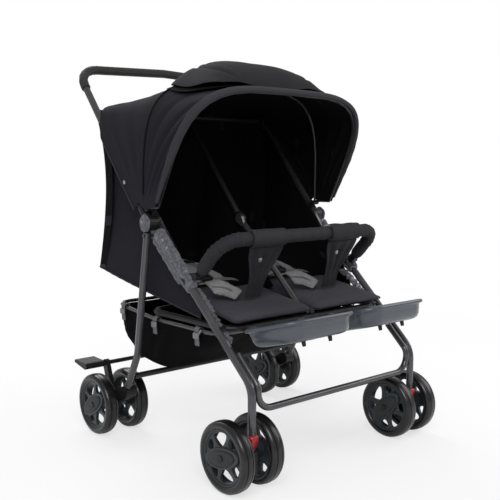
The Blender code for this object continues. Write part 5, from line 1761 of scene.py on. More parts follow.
@dataclass
class Bumper:
    """The padded bar across both seats, with its end fittings and the cloth that hangs from it."""

    half_width: float = 0.273
    top: tuple[float, float] = (-0.215, 0.556)
    pivot: tuple[float, float] = (-0.128, 0.466)
    radius: float = 0.0175
    bend: float = 0.055
    wrap_width: float = 0.110
    wrap_foot_width: float = 0.052
    wrap_round_share: float = 0.34
    wrap_clearance: float = 0.0028
    wrap_back: float = 0.050
    wrap_low_z: float = 0.4055

    def path(self, inset: float) -> np.ndarray:
        """The bar's middle line from one foot to the other.

        Args:
            inset: how far up from the pivots it starts.

        Returns:
            Even points.
        """
        w = self.half_width
        up = np.array([self.top[0] - self.pivot[0], self.top[1] - self.pivot[1]])
        up /= np.linalg.norm(up)
        y, z = np.array(self.pivot) + up * inset
        corners = [(-w, y, z), (-w, *self.top), (w, *self.top), (w, y, z)]
        return even(rounded(corners, self.bend, 12), 220)

    def sleeve(self) -> bpy.types.Object:
        """The padded sleeve, gathered at its bends and ends."""
        path = self.path(0.014)
        s = np.linspace(0, 1, len(path))
        turn = np.linalg.norm(np.gradient(np.gradient(path, axis=0), axis=0), axis=1)
        turn = turn / turn.max()
        for _ in range(12):
            turn = (np.roll(turn, 1) + turn + np.roll(turn, -1)) / 3
        turn = np.clip(turn * 1.5, 0, 1)
        wave = np.sin(s * 2 * np.pi * 58) * 0.085 * turn + np.sin(s * 2 * np.pi * 21 + 1.3) * 0.02
        ends = smooth(0, 0.02, s) * smooth(0, 0.02, 1 - s)
        size = self.radius * (0.97 + wave) * (0.72 + 0.28 * ends)
        base = circle(1.0, 28)
        outline = base[None] * size[:, None, None]
        piece = Mesher.sweep("bumper_sleeve", path, outline, Finishes.lining, sharp=180)
        subdivide(piece, 1)
        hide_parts("bumper_bar")
        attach(piece, "bumper")
        return piece

    def fitting(self, side: Side) -> bpy.types.Object:
        """The moulded eye at one end of the bar."""
        y, z = self.pivot
        x = side.value * self.half_width
        up = np.array([self.top[0] - y, self.top[1] - z])
        up /= np.linalg.norm(up)
        angles = np.linspace(0, 2 * math.pi, 40, endpoint=False)
        ring = []
        for a in angles:
            d = np.array([math.cos(a), math.sin(a)])
            reach = 0.0098 + max(0.0, float(d @ up)) ** 3 * 0.014
            ring.append(d * reach)
        ring = np.array(ring)
        layers = []
        for depth, scale in ((-0.0062, 0.9), (-0.0054, 1.0), (0.0042, 1.0), (0.005, 0.9)):
            layers.append(
                np.column_stack(
                    [np.full(40, x + side.value * depth), y + ring[:, 0] * scale, z + ring[:, 1] * scale]
                )
            )
        piece = Mesher.stack(f"bumper_eye_{side.word}", layers, Finishes.black)
        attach(piece, "bumper")
        return piece

    def wrap(self, side: Side) -> list[bpy.types.Object]:
        """The cloth round the bar and down to one seat, with creases to its snap."""
        x0 = side.value * LAYOUT.seat_x
        y, z = self.top
        rows, columns = 46, 41
        grid = np.zeros((rows, columns, 3))
        around = self.radius + self.wrap_clearance
        for i in range(rows):
            t = i / (rows - 1)
            if t < self.wrap_round_share:
                a = math.pi * (1 - t / self.wrap_round_share)
                centre = (y - around * math.sin(a), z - around * math.cos(a))
                width = self.wrap_width
                fold = 0.0
            else:
                q = (t - self.wrap_round_share) / (1 - self.wrap_round_share)
                ease = min(1.0, q * 4)
                centre = (
                    y - 0.004 * (1 - ease) + self.wrap_back * q**0.9,
                    (z - around) * (1 - q) + self.wrap_low_z * q
                )
                narrow = self.wrap_foot_width - self.wrap_width
                width = self.wrap_width + narrow * float(smooth(0.0, 0.75, q))
                fold = 0.0045 * math.sin(math.pi * min(1.0, q * 1.25)) * (1 - q)
            for j in range(columns):
                u = 2 * j / (columns - 1) - 1
                bend = fold * math.cos(2 * math.pi * u * 1.5)
                grid[i, j] = (x0 + u * width / 2, centre[0] + bend, centre[1])
        grid = creased(grid, 0.0032, 0.042)
        piece = Mesher.shell(f"crotch_wrap_{side.word}", grid, 0.0018, Finishes.lining)
        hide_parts(f"crotch_{side.word}")
        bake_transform(piece)
        snap = Snap(0.0058).build(
            f"crotch_snap_{side.word}", (x0 - 0.012, y + 0.0088, 0.502), (0, -0.93, -0.35), "bumper"
        )
        return [piece, snap]

    def build(self) -> list[bpy.types.Object]:
        """Makes the bumper's pieces."""
        pieces = [self.sleeve()]
        for side in Side:
            pieces.append(self.fitting(side))
            pieces += self.wrap(side)
        return pieces


@dataclass
class Snap:
    """A bright press stud: a domed cap with a rolled edge."""

    radius: float = 0.006

    def build(self, name: str, place: Sequence[float], out: Sequence[float], body: str) -> bpy.types.Object:
        """Makes the stud.

        Args:
            name: its name.
            place: the middle of its foot.
            out: the direction that it faces.
            body: the body that it rides on.

        Returns:
            The piece.
        """
        r = self.radius
        profile = [
            (0.0001, 0.0022), (0.35, 0.0021), (0.62, 0.0016), (0.75, 0.0013), (0.86, 0.0016), (1.0, 0.0011),
            (1.0, 0.0), (0.0001, -0.0006)
        ]
        direction = Vector(out).normalized()
        turn = direction.to_track_quat("Z", "Y")
        sides = 28
        layers = []
        for share, height in profile:
            ring = []
            for k in range(sides):
                a = 2 * math.pi * k / sides
                local = Vector((share * r * math.cos(a), share * r * math.sin(a), height))
                ring.append(tuple(Vector(place) + turn @ local))
            layers.append(ring)
        piece = Mesher.stack(name, layers, Finishes.snap_metal)
        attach(piece, body)
        return piece


@dataclass
class Basket:
    """The cloth basket under the seats: it sags between its rim and its floor."""

    half_width: float = 0.265
    flare: float = 0.021
    corner: float = 0.045
    front: float = -0.186
    rear: float = 0.266
    floor_front: float = -0.055
    floor_rear: float = 0.212
    rim_z: float = 0.331
    rear_rim_z: float = 0.350
    kink: float = 0.070
    rim_radius: float = 0.005

    def rim_height(self, y: np.ndarray) -> np.ndarray:
        """The rim's height, which rises at the rear."""
        share = np.clip((y - self.kink) / (self.rear - self.kink), 0, 1)
        return self.rim_z + (self.rear_rim_z - self.rim_z) * share

    def outline(self, share: float, inset: float) -> np.ndarray:
        """The basket's outline at a share of its height.

        Args:
            share: 0 at the floor and 1 at the rim.
            inset: how far in it is moved.

        Returns:
            Even points round it.
        """
        half = self.half_width - self.flare * (1 - share) - inset
        front = self.floor_front + (self.front - self.floor_front) * share**0.85 + inset
        rear = self.floor_rear + (self.rear - self.floor_rear) * share**0.5 - inset
        points = slab(half, (rear - front) / 2, self.corner, 8)
        ring = even(np.concatenate([points, points[:1]]), 145)[:-1]
        return ring + np.array([0.0, (front + rear) / 2])

    def belly(self, y: np.ndarray, share: float, inward: float) -> np.ndarray:
        """The floor's height, lowest under the middle.

        Args:
            y: places front to back.
            share: 0 at the floor and 1 at the rim.
            inward: 0 at the floor's edge and 1 at its middle.

        Returns:
            The heights.
        """
        floor = np.interp(
            y, (-0.18, -0.13, -0.06, 0.0, 0.06, 0.12, 0.18, 0.25),
            (0.262, 0.251, 0.233, 0.214, 0.2055, 0.2065, 0.212, 0.226)
        )
        return floor - 0.003 * inward * (1 - share)

    def cloth(self) -> bpy.types.Object:
        """The basket's cloth, from inside its floor to its hem."""
        layers = []
        shares = list(np.linspace(0, 1, 16))
        for r in (0.12, 0.3, 0.5, 0.7, 0.86):
            ring = self.outline(0.0, 0.0)
            middle = ring.mean(axis=0)
            flat = middle + (ring - middle) * r
            layers.append(np.column_stack([flat, self.belly(flat[:, 1], 0.0, 1 - r)]))
        for share in shares:
            ring = self.outline(share, -0.008 * math.sin(math.pi * share))
            high = self.rim_height(ring[:, 1]) - self.rim_radius - 0.0008
            z = self.belly(ring[:, 1], share, 0.0)
            layers.append(np.column_stack([ring, z + (high - z) * share]))
        grid = np.array(layers)
        n = len(layers)
        angle = np.linspace(0, 2 * np.pi, grid.shape[1], endpoint=False)
        wave = 0.0022 * np.sin(angle * 17) + 0.0016 * np.sin(angle * 31 + 1)
        shape = np.zeros(n)
        shape[5:] = np.sin(np.pi * np.linspace(0, 1, n - 5)) ** 0.8
        out = grid[..., :2] - grid[..., :2].mean(axis=1, keepdims=True)
        out /= np.maximum(np.linalg.norm(out, axis=2, keepdims=True), 1e-6)
        grid[..., :2] += out * (shape[:, None] * wave[None])[..., None]
        grid = creased(grid, 0.003, 0.07, wrap=True)
        sign = normals(grid, True)
        mid = n - 8, grid.shape[1] // 8
        outward = sign[mid][:2] @ out[mid] > 0
        back = grid - sign * (LAYOUT.cloth if outward else -LAYOUT.cloth)
        columns = grid.shape[1]
        points = np.concatenate([grid.reshape(-1, 3), back.reshape(-1, 3)])
        count = n * columns
        faces = Mesher.grid_faces(n, columns, True) + Mesher.grid_faces(n, columns, True, count, True)
        for j in range(columns):
            k = (j + 1) % columns
            top = (n - 1) * columns
            faces.append((top + j, top + k, count + top + k, count + top + j))
        faces.append(tuple(range(columns)))
        faces.append(tuple(count + j for j in range(columns))[::-1])
        piece = Mesher.piece("basket_cloth", points, faces, Finishes.basket)
        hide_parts("basket")
        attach(piece, "front_frame")
        return piece

    def loop(self, name: str, side: Side, y: float) -> list[bpy.types.Object]:
        """A webbing loop round the rim with its moulded clip.

        Args:
            name: the loop's name.
            side: the basket's side.
            y: where it is, front to back.

        Returns:
            The pieces.
        """
        x, z = self.half_width, float(self.rim_height(np.array(y)))
        corners = [
            (x + 0.0068, z - 0.036), (x + 0.0086, z - 0.004), (x + 0.0065, z + 0.0068),
            (x - 0.002, z + 0.0085), (x - 0.0085, z + 0.002), (x - 0.0095, z - 0.03)
        ]
        path = spline([(side.value * a, y, b) for a, b in corners], 40)
        strap = Mesher.sweep(
            f"basket_loop_{name}_{side.word}", path, slab(0.0085, 0.0008, 0.0007, 2), Finishes.webbing,
            (0, 0, 1)
        )
        strap_path = [(side.value * (x + 0.0105), y, z - d) for d in (0.0035, 0.006, 0.0165, 0.019)]
        sizes = np.array([0.8, 1.0, 1.0, 0.75])
        outline = slab(0.0105, 0.0028, 0.0026, 4)[None] * sizes[:, None, None]
        clip = Mesher.sweep(
            f"basket_clip_{name}_{side.word}", np.array(strap_path), outline, Finishes.clip, (1, 0, 0)
        )
        for piece in (strap, clip):
            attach(piece, "front_frame")
        return [strap, clip]

    def gusset(self, side: Side) -> bpy.types.Object:
        """The small three-cornered plate under the seat's frame beside the leg."""
        x = side.value * 0.2735
        corners = rounded(
            [(x, -0.096, 0.338), (x, -0.142, 0.338), (x, -0.121, 0.314), (x, -0.098, 0.336)], 0.003, 4
        )[1:-1]
        layers = [corners + np.array([side.value * d, 0, 0]) for d in (0.0, 0.0018)]
        piece = Mesher.stack(f"frame_gusset_{side.word}", layers, Finishes.clip)
        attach(piece, "front_frame")
        return piece

    def build(self) -> list[bpy.types.Object]:
        """Makes the basket's pieces."""
        pieces = [self.cloth()]
        for side in Side:
            pieces.append(self.gusset(side))
            for name, y in (("a", -0.118), ("b", 0.062), ("c", 0.215)):
                pieces += self.loop(name, side, y)
        return pieces


@dataclass
class Trays:
    """The two moulded leg rests with their lips, knuckles, ribs and feet."""

    width: float = 0.243
    length: float = 0.164
    centre_x: float = 0.1325
    hinge: tuple[float, float] = (-0.252, 0.347)
    tilt: float = math.radians(15)
    clearance: float = 0.006

    def plan(self, half_x: float, half_y: float, front: float, rear: float) -> np.ndarray:
        """A rectangle with rounder corners in front.

        Args:
            half_x: half of its width.
            half_y: half of its length.
            front: the radius of the corners at low Y.
            rear: the radius of the others.

        Returns:
            Its points.
        """
        points = []
        for k, (sx, sy) in enumerate(((1, 1), (-1, 1), (-1, -1), (1, -1))):
            radius = rear if sy > 0 else front
            for i in range(13):
                a = math.pi / 2 * (k + i / 12)
                points.append(
                    (
                        sx * (half_x - radius) + radius * math.cos(a),
                        sy * (half_y - radius) + radius * math.sin(a)
                    )
                )
        return np.array(points)

    def shell(self, side: Side) -> bpy.types.Object:
        """One tray's round-cornered bowl with a rolled lip."""
        middle = -(self.clearance + self.length / 2)
        hx, hy = self.width / 2, self.length / 2
        levels = [
            (0.062, -0.0440), (0.036, -0.0438), (0.0255, -0.0420), (0.0180, -0.0372), (0.0138, -0.0290),
            (0.0108, -0.0170),
            (0.0090, -0.0085), (0.0072, -0.0062), (0.0034, -0.0060), (0.0008, -0.0042), (0.0, -0.0012),
            (0.0007, 0.0018),
            (0.0030, 0.0038), (0.0064, 0.0043), (0.0098, 0.0034), (0.0120, 0.0010), (0.0130, -0.0034),
            (0.0148, -0.0130),
            (0.0180, -0.0245), (0.0240, -0.0330), (0.0340, -0.0372), (0.062, -0.0380),
        ]
        layers = []
        for inset, z in levels:
            outline = self.plan(
                hx - inset, hy - inset, max(0.010, 0.056 - inset * 0.8), max(0.008, 0.022 - inset * 0.4)
            )
            layers.append(np.column_stack([outline[:, 0], outline[:, 1] + middle, np.full(len(outline), z)]))
        origin = (side.value * self.centre_x, *self.hinge)
        grid = tilt(np.array(layers), origin, -self.tilt)
        piece = Mesher.stack(f"leg_rest_{side.word}", grid, Finishes.tray, 38)
        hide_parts(f"leg_tray_{side.word}")
        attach(piece, f"tray_{side.word}")
        return piece

    def fittings(self, side: Side) -> list[bpy.types.Object]:
        """One tray's hinge knuckles and feet."""
        pieces = []
        origin = (side.value * self.centre_x, *self.hinge)
        middle = -(self.clearance + self.length / 2)
        for k, offset in enumerate((-0.078, 0.078)):
            profile = [
                (0.0046, -0.0106), (0.0066, -0.0106), (0.0075, -0.0098), (0.0075, 0.0098), (0.0066, 0.0106),
                (0.0046, 0.0106)
            ]
            centre = (origin[0] + offset, origin[1], origin[2])
            knuckle = Mesher.turned(f"tray_knuckle_{k}_{side.word}", profile, Finishes.tray, centre, 28)
            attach(knuckle, f"tray_{side.word}")
            foot_path = tilt(
                np.array(
                    [
                        [
                            offset * 0.55, middle - self.length / 2 * 0.45, z
                        ] for z in (-0.0405, -0.046, -0.053, -0.0558)
                    ]
                ),
                origin,
                -self.tilt,
            )
            sizes = np.array([0.0062, 0.0050, 0.0046, 0.0036])
            foot = Mesher.sweep(
                f"tray_foot_{k}_{side.word}", foot_path, circle(1.0, 20)[None] * sizes[:, None, None],
                Finishes.black
            )
            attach(foot, f"tray_{side.word}")
            web = tilt(
                np.array([
                    [offset - 0.008, -0.002, -0.004], [offset + 0.008, -0.002, -0.004],
                    [offset + 0.008, -0.014, -0.0045], [offset - 0.008, -0.014, -0.0045],
                    [offset - 0.008, -0.002, 0.0015], [offset + 0.008, -0.002, 0.0015],
                    [offset + 0.008, -0.014, -0.0008], [offset - 0.008, -0.014, -0.0008],
                ]),
                origin,
                -self.tilt,
            )
            faces = [(0, 1, 2, 3), (4, 7, 6, 5), (0, 4, 5, 1), (1, 5, 6, 2), (2, 6, 7, 3), (3, 7, 4, 0)]
            ear = Mesher.piece(f"tray_ear_{k}_{side.word}", web, faces, Finishes.tray)
            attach(ear, f"tray_{side.word}")
            pieces += [knuckle, foot, ear]
        return pieces

    def build(self) -> list[bpy.types.Object]:
        """Makes both trays."""
        pieces = []
        for side in Side:
            pieces.append(self.shell(side))
            pieces += self.fittings(side)
        return pieces


@dataclass
class Wheels:
    """Eight wheels: a foam tyre with a rounded tread and a moulded hub with six openings."""

    radius: float = 0.0825
    width: float = 0.038
    inner: float = 0.064
    boss: float = 0.026
    front: tuple[float, float] = (-0.297, 0.0825)
    rear: tuple[float, float] = (0.239, 0.0825)
    front_x: float = 0.2825
    front_spread: float = 0.0431
    rear_x: float = 0.2948
    rear_spread: float = 0.0471
    openings: tuple[tuple[float, float, float, float], ...] = tuple(
        (middle + turn, half, r0, r1)
        for turn in (0.0, 180.0)
        for middle, half, r0, r1 in (
            (90.0, 29.0, 0.0265, 0.0585), (38.0, 16.0, 0.0375, 0.0580), (142.0, 16.0, 0.0375, 0.0580)
        )
    )
    turns: tuple[float, ...] = (24.0, 14.0, 47.0, -14.0, -8.0, 33.0, 22.0, 40.0)

    def tyre_mesh(self) -> bpy.types.Mesh:
        """The tyre about its own middle, with two grooves beside the tread."""
        half = self.width / 2 - 0.0004
        r = self.radius
        top = [
            (self.inner, -0.0145), (self.inner + 0.002, -0.0170), (self.inner + 0.0045, -half + 0.0006),
            (self.inner + 0.0085, -half), (r - 0.0075, -half + 0.0008), (r - 0.0035, -half + 0.0032),
            (r - 0.0012, -half + 0.0072), (r - 0.0008, -0.0082), (r - 0.0022, -0.0076), (r - 0.0022, -0.0066),
            (r - 0.0005, -0.0060), (r, -0.003),
        ]
        profile = top + [(a, -b) for a, b in reversed(top)]
        piece = Mesher.turned("tyre", profile, Finishes.tyre, (0, 0, 0), 84)
        mesh = piece.data
        bpy.data.objects.remove(piece)
        return mesh

    def opening(self, middle: float, half: float, r0: float, r1: float) -> list[tuple[float, float]]:
        """A rounded opening that widens to the rim, as (y, z) pairs.

        Args:
            middle: where it is round the hub, in degrees.
            half: half of its width at the rim, in degrees.
            r0: its inner radius.
            r1: its outer radius.

        Returns:
            Its outline.
        """
        corners = []
        for radius, share in (
            (r0, -0.55), (r1 - 0.004, -1.0), (r1, -0.5), (r1, 0.5), (r1 - 0.004, 1.0), (r0, 0.55),
            (r0 - 0.001, 0.0)
        ):
            a = math.radians(middle + half * share)
            corners.append(np.array([radius * math.cos(a), radius * math.sin(a)]))
        points = np.array(corners)
        for _ in range(3):
            ahead = np.roll(points, -1, axis=0)
            points = np.stack(
                [points * 0.75 + ahead * 0.25, points * 0.25 + ahead * 0.75], axis=1
            ).reshape(-1, 2)
        return [(float(y), float(z)) for y, z in points]

    def oval(
        self, name: str, half_y: float, half_z: float, steps: Sequence[Sequence[float]], finish: Finish
    ) -> bpy.types.Object:
        """A raised oval about the axle.

        Args:
            name: the piece's name.
            half_y: half of its length.
            half_z: half of its height.
            steps: pairs of a share of its size and a place along the axle.
            finish: its finish.

        Returns:
            The piece.
        """
        a = np.linspace(0, 2 * math.pi, 56, endpoint=False)
        layers = [
            np.column_stack(
                [np.full(56, x), half_y * share * np.cos(a), half_z * share * np.sin(a)]
            ) for share,
            x in steps
        ]
        return Mesher.stack(name, layers, finish)

    def hub_mesh(self) -> bpy.types.Mesh:
        """The hub about its own middle: rim, ribbed web with openings, boss and an oval plate."""
        half = self.width / 2 - 0.0006
        i = self.inner - 0.0004
        profile = [
            (0.0054, -half), (self.boss * 0.66, -half), (
                self.boss * 0.74, -half + 0.0016
            ), (self.boss * 0.80, -0.0105),
            (self.boss * 0.9, 0.0035), (i - 0.0060, 0.0035), (i - 0.0040, -0.0010), (i - 0.0032, -0.0140),
            (i - 0.0022, -0.0149), (i, -0.0149),
            (i, 0.0149), (i - 0.0022, 0.0149), (i - 0.0034, 0.0142), (i - 0.0044, 0.0118), (i - 0.0065, 0.0106),
            (self.boss * 0.9, 0.0122), (0.0054, 0.0126),
        ]
        hub = Mesher.turned("hub", profile, Finishes.hub, (0, 0, 0), 96)
        for middle, wide, r0, r1 in self.openings:
            outline = self.opening(middle, wide, r0, r1)
            points = [(x, y, z) for x in (-0.02, 0.02) for y, z in outline]
            n = len(outline)
            faces = [tuple(range(n)), tuple(range(2 * n - 1, n - 1, -1))]
            faces += [(j, (j + 1) % n, n + (j + 1) % n, n + j) for j in range(n)]
            cutter = Mesher.piece("cutter", np.array(points), faces, Finishes.hub)
            modifier = hub.modifiers.new("cut", "BOOLEAN")
            modifier.operation, modifier.solver, modifier.object = "DIFFERENCE", "EXACT", cutter
            apply_modifiers(hub)
            bpy.data.objects.remove(cutter)
        bevel = hub.modifiers.new("edge", "BEVEL")
        bevel.width, bevel.segments, bevel.limit_method, bevel.angle_limit = (
            0.0011, 2, "ANGLE", math.radians(50)
        )
        apply_modifiers(hub)
        steps = (
            (1.0, 0.0060), (1.0, half - 0.0022), (0.975, half - 0.0008), (0.94, half - 0.0004),
            (0.84, half - 0.0010), (0.80, half - 0.0022)
        )
        plate = self.oval("plate", 0.0585, 0.0245, steps, Finishes.hub)
        bm = bmesh.new()
        bm.from_mesh(hub.data)
        bm.from_mesh(plate.data)
        mesh = hub.data
        bm.to_mesh(mesh)
        bm.free()
        mesh.polygons.foreach_set("use_smooth", [True] * len(mesh.polygons))
        mesh.set_sharp_from_angle(angle=math.radians(34))
        for obj in (hub, plate):
            bpy.data.objects.remove(obj)
        return mesh

    def cap_mesh(self) -> bpy.types.Mesh:
        """The domed oval cap in the middle of a hub's outer face."""
        half = self.width / 2
        steps = (
            (1.0, half - 0.0070), (1.0, half - 0.0014), (0.965, half - 0.0002), (0.90, half + 0.0004),
            (0.6, half + 0.0009), (0.25, half + 0.0011)
        )
        piece = self.oval("hub_cap", 0.0430, 0.0172, steps, Finishes.cap)
        mesh = piece.data
        bpy.data.objects.remove(piece)
        return mesh

    def build(self) -> list[bpy.types.Object]:
        """Makes the eight wheels."""
        tyre, hub, cap = self.tyre_mesh(), self.hub_mesh(), self.cap_mesh()
        pieces = []
        for end, (y, z), x, spread in (
            ("front", self.front, self.front_x, self.front_spread),
            ("rear", self.rear, self.rear_x, self.rear_spread),
        ):
            for side in Side:
                for place, sign in (("inner", -1), ("outer", 1)):
                    turn = self.turns[len(pieces) // 3]
                    name = f"{end}_{side.word}_{place}"
                    for part, mesh, finish in (
                        ("tyre", tyre, Finishes.tyre), ("hub", hub, Finishes.hub), ("cap", cap, Finishes.cap)
                    ):
                        if part != "tyre":
                            mesh = mesh.copy()
                            mesh.transform(Matrix.Rotation(math.radians(turn), 4, "X"))
                        obj = bpy.data.objects.new(f"wheel_{part}_{name}", mesh)
                        bpy.context.scene.collection.objects.link(obj)
                        obj.location = (side.value * (x + sign * spread), y, z)
                        if side.value * sign < 0:
                            obj.rotation_euler.z = math.pi
                        if part != "cap":
                            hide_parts(f"{part}_{name}")
                        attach(obj, f"wheel_{name}")
                        pieces.append(obj)
        return pieces


@dataclass
class Trim:
    """Trim on the frame: leg sleeves, hinge covers, lock knobs and the front cross tube."""

    def wrap(
        self, name: str, side: Side, span: tuple[float, float], rear: float, ahead: float, thick: float
    ) -> bpy.types.Object:
        """A flattened knitted wrap along a front leg.

        Args:
            name: its name.
            side: the leg's side.
            span: the heights where it starts and ends.
            rear: how far it reaches behind the leg's middle.
            ahead: how far it reaches before it.
            thick: half of its thickness.

        Returns:
            The piece.
        """
        heights = np.linspace(*span, 70)
        path = np.array([(side.value * LAYOUT.leg_x(z), LAYOUT.leg_y(z), z) for z in heights])
        s = np.linspace(0, 1, len(path))
        a = np.linspace(0, 2 * np.pi, 36, endpoint=False)
        middle, half = (ahead - rear) / 2, (ahead + rear) / 2
        flat = np.stack(
            [np.sign(np.cos(a)) * np.abs(np.cos(a)) ** 0.7, np.sign(np.sin(a)) * np.abs(np.sin(a)) ** 0.8],
            axis=1
        )
        ends = smooth(0, 0.035, s) * smooth(0, 0.035, 1 - s)
        coarse = 0.07 * np.sin(s * 31)[:, None] * np.sin(a * 2 + 1)[None]
        lump = 1 + coarse + 0.05 * np.sin(s * 57 + 2)[:, None] * np.cos(a * 3)[None]
        size = (0.72 + 0.28 * ends)[:, None] * lump
        outline = np.stack([middle + half * flat[None, :, 0] * size, thick * flat[None, :, 1] * size], axis=2)
        slant = np.array([0.0, -0.732, -0.681]) * 0.010
        path = path + slant * (smooth(0.9, 1.0, s) - 0.4)[:, None] * 0.6
        piece = Mesher.sweep(name, path, outline, Finishes.mottled, up=(1, 0, 0), sharp=180)
        subdivide(piece, 1)
        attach(piece, "front_frame")
        middle = (span[0] + span[1]) / 2
        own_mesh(piece)
        return piece

    def hinge_cover(self, side: Side) -> bpy.types.Object:
        """The soft round cover over a hinge."""
        layers = []
        for share, depth in (
            (0.9, 0.3124), (1.0, 0.3130), (1.0, 0.3146), (0.88, 0.3162), (0.6, 0.3172), (0.25, 0.3176)
        ):
            ring = circle(0.0225 * share, 40) * (1 + 0.03 * np.sin(np.arange(40) * 0.8))[:, None]
            y, z = LAYOUT.hinge[1:]
            layers.append(np.column_stack([np.full(40, side.value * depth), y + ring[:, 0], z + ring[:, 1]]))
        piece = Mesher.stack(f"hinge_cover_{side.word}", layers, Finishes.mottled, 180)
        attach(piece, "handle")
        return piece

    def lock(self, side: Side) -> bpy.types.Object:
        """The rounded red knob of one swivel lock."""
        node = f"swivel_lock_{side.word}"
        low, high = (np.array(corner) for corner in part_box(node))
        middle, half = (low + high) / 2, (high - low) / 2
        layers = []
        for share, size in (
            (0.0, 0.42), (0.03, 0.56), (0.12, 0.68), (0.35, 0.80), (0.62, 0.95), (0.80, 1.0), (0.92, 0.93),
            (0.98, 0.78), (1.0, 0.6)
        ):
            ring = slab(half[0] * size, half[1] * size, min(half[0], half[1]) * size * 0.75, 7)
            layers.append(
                np.column_stack([ring + middle[:2], np.full(len(ring), low[2] + (high[2] - low[2]) * share)])
            )
        piece = Mesher.stack(f"lock_knob_{side.word}", layers, Finishes.red, 60)
        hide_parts(node)
        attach(piece, f"lock_{side.word}")
        return piece

    def front_cross(self) -> bpy.types.Object:
        """The front cross tube, whose ends run up inside the legs."""
        low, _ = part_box("front_cross_tube")
        y, z = LAYOUT.foot_y, low[2] + LAYOUT.cross_radius
        inset = LAYOUT.leg_radius + LAYOUT.cross_radius + 0.0004
        points = []
        for height, place in ((0.300, LAYOUT.leg_y(0.300)), (LAYOUT.knee_z, y), (z, y)):
            points.append((-(LAYOUT.leg_x(height) - inset), place, height))
        points += [(-a, b, c) for a, b, c in reversed(points)]
        path = even(rounded(points, (0.028, 0.040, 0.040, 0.028), 12), 170)
        piece = Mesher.sweep(
            "front_cross_pipe", path, circle(LAYOUT.cross_radius, 20), Finishes.tube, sharp=50
        )
        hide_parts("front_cross_tube")
        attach(piece, "front_frame")
        return piece

    def build(self) -> list[bpy.types.Object]:
        """Makes the small fittings."""
        pieces = [self.front_cross()]
        for side in Side:
            pieces.append(self.lock(side))
            pieces.append(self.wrap(f"leg_sleeve_{side.word}", side, (0.562, 0.434), 0.0165, 0.0185, 0.0128))
            pieces.append(self.wrap(f"leg_flap_{side.word}", side, (0.560, 0.462), 0.031, -0.004, 0.0085))
            pieces.append(self.hinge_cover(side))
        return pieces


class FrameFinish:
    """Gives the frame's own nodes their finishes."""

    by_word: tuple[tuple[str, Finish], ...] = (
        ("grip", Finishes.foam),
        ("knuckle", Finishes.black),
        ("bow", Finishes.wire),
        ("socket", Finishes.black),
        ("lock", Finishes.red),
        ("fork", Finishes.black),
        ("bracket", Finishes.black),
        ("brake", Finishes.black),
        ("seat_frame", Finishes.black),
        ("centre_tube_upper", Finishes.black),
        ("rear_cross", Finishes.wire),
    )

    def finish_of(self, node: str) -> Finish:
        """The finish of a node by the words in its name."""
        return next((finish for word, finish in self.by_word if word in node), Finishes.tube)

    def build(self) -> int:
        """Dresses each shown node.

        Returns:
            How many were dressed.
        """
        count = 0
        for name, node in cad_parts.items():
            if node.hide_render or node.type != "MESH":
                continue
            node.data.materials.clear()
            node.data.materials.append(self.finish_of(name).material)
            count += 1
        return count


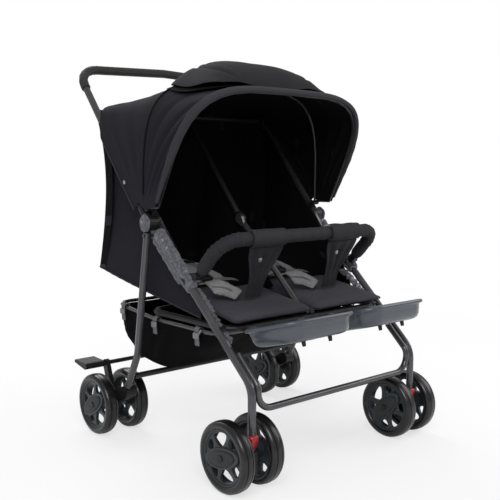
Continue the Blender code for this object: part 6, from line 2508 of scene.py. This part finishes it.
@dataclass
class Studio:
    """A plain pale floor, a white surround, soft lamps and the camera."""

    camera_place: tuple[float, float, float] = (-1.365, -1.572, 0.716)
    camera_aim: tuple[float, float, float] = (0.0, 0.0, 0.500)
    lens: float = 55.0
    world_level: float = 0.55
    lamps: tuple[tuple[tuple[float, float, float], float, float], ...] = (
        ((-1.9, -2.2, 2.5), 60.0, 1.8),
        ((2.4, -1.4, 2.0), 26.0, 2.0),
        ((0.3, 2.2, 2.4), 34.0, 1.8),
    )

    def floor(self) -> bpy.types.Object:
        """The floor, which fades to white away from the stroller."""
        p = Paint("floor_white")
        x, y, _ = p.axes(p.place())
        far = (x * x + y * y).ramp(0.9, 5.0)
        diffuse = p.node("ShaderNodeBsdfDiffuse", None, {"Color": (0.93, 0.93, 0.935, 1)})
        white = p.node("ShaderNodeEmission", None, {"Color": (1, 1, 1, 1), "Strength": 1.0})
        path = p.node("ShaderNodeLightPath", output="Is Camera Ray")
        mixed = p.node("ShaderNodeMixShader", None, {0: (far * 0.35 + 0.65) * path, 1: diffuse, 2: white})
        p.node("ShaderNodeOutputMaterial", None, {"Surface": mixed})
        mesh = bpy.data.meshes.new("floor")
        size, steps = 14.0, 24
        line = np.linspace(-size, size, steps)
        points = [(float(a), float(b), 0.0) for b in line for a in line]
        mesh.from_pydata(points, [], Mesher.grid_faces(steps, steps, False))
        mesh.materials.append(p.material)
        obj = bpy.data.objects.new("floor", mesh)
        bpy.context.scene.collection.objects.link(obj)
        return obj

    def surround(self) -> None:
        """Sets the world: white to the camera and plain soft light on the stroller."""
        world = bpy.data.worlds.new("surround")
        bpy.context.scene.world = world
        world.use_nodes = True
        nodes, links = world.node_tree.nodes, world.node_tree.links
        nodes.clear()
        light = nodes.new("ShaderNodeBackground")
        light.inputs["Color"].default_value = (1, 1, 1, 1)
        light.inputs["Strength"].default_value = self.world_level
        white = nodes.new("ShaderNodeBackground")
        white.inputs["Color"].default_value = (1, 1, 1, 1)
        path = nodes.new("ShaderNodeLightPath")
        mix = nodes.new("ShaderNodeMixShader")
        out = nodes.new("ShaderNodeOutputWorld")
        links.new(path.outputs["Is Camera Ray"], mix.inputs[0])
        links.new(light.outputs[0], mix.inputs[1])
        links.new(white.outputs[0], mix.inputs[2])
        links.new(mix.outputs[0], out.inputs[0])

    def light(self) -> None:
        """Hangs the soft lamps."""
        for k, (place, power, size) in enumerate(self.lamps):
            data = bpy.data.lights.new(f"soft_lamp_{k}", "AREA")
            data.energy, data.size = power, size
            obj = bpy.data.objects.new(f"soft_lamp_{k}", data)
            bpy.context.scene.collection.objects.link(obj)
            obj.location = place
            obj.rotation_euler = (Vector((0, 0, 0.5)) - Vector(place)).to_track_quat("-Z", "Y").to_euler()

    def camera(self) -> None:
        """Sets the camera at the photograph's angle."""
        data = bpy.data.cameras.new("camera")
        data.lens, data.sensor_width = self.lens, 36.0
        obj = bpy.data.objects.new("camera", data)
        bpy.context.scene.collection.objects.link(obj)
        obj.location = self.camera_place
        aim = Vector(self.camera_aim) - Vector(self.camera_place)
        obj.rotation_euler = aim.to_track_quat("-Z", "Y").to_euler()
        bpy.context.scene.camera = obj

    def build(self) -> None:
        """Makes the studio."""
        self.floor()
        self.surround()
        self.light()
        self.camera()
        bpy.context.scene.view_settings.view_transform = "Standard"


def main() -> None:
    """Builds the studio and every sub-assembly in order."""
    logging.basicConfig(level=logging.INFO, format="%(message)s")
    Studio().build()
    for assembly in (Canopy(), Enclosure(), Seats(), Bumper(), Basket(), Trays(), Wheels(), Trim()):
        for piece in assembly.build():
            log.info("%s: %s, %d faces", type(assembly).__name__, piece.name, len(piece.data.polygons))
    log.info("frame nodes dressed: %d", FrameFinish().build())


if __name__ == "__main__":
    main()
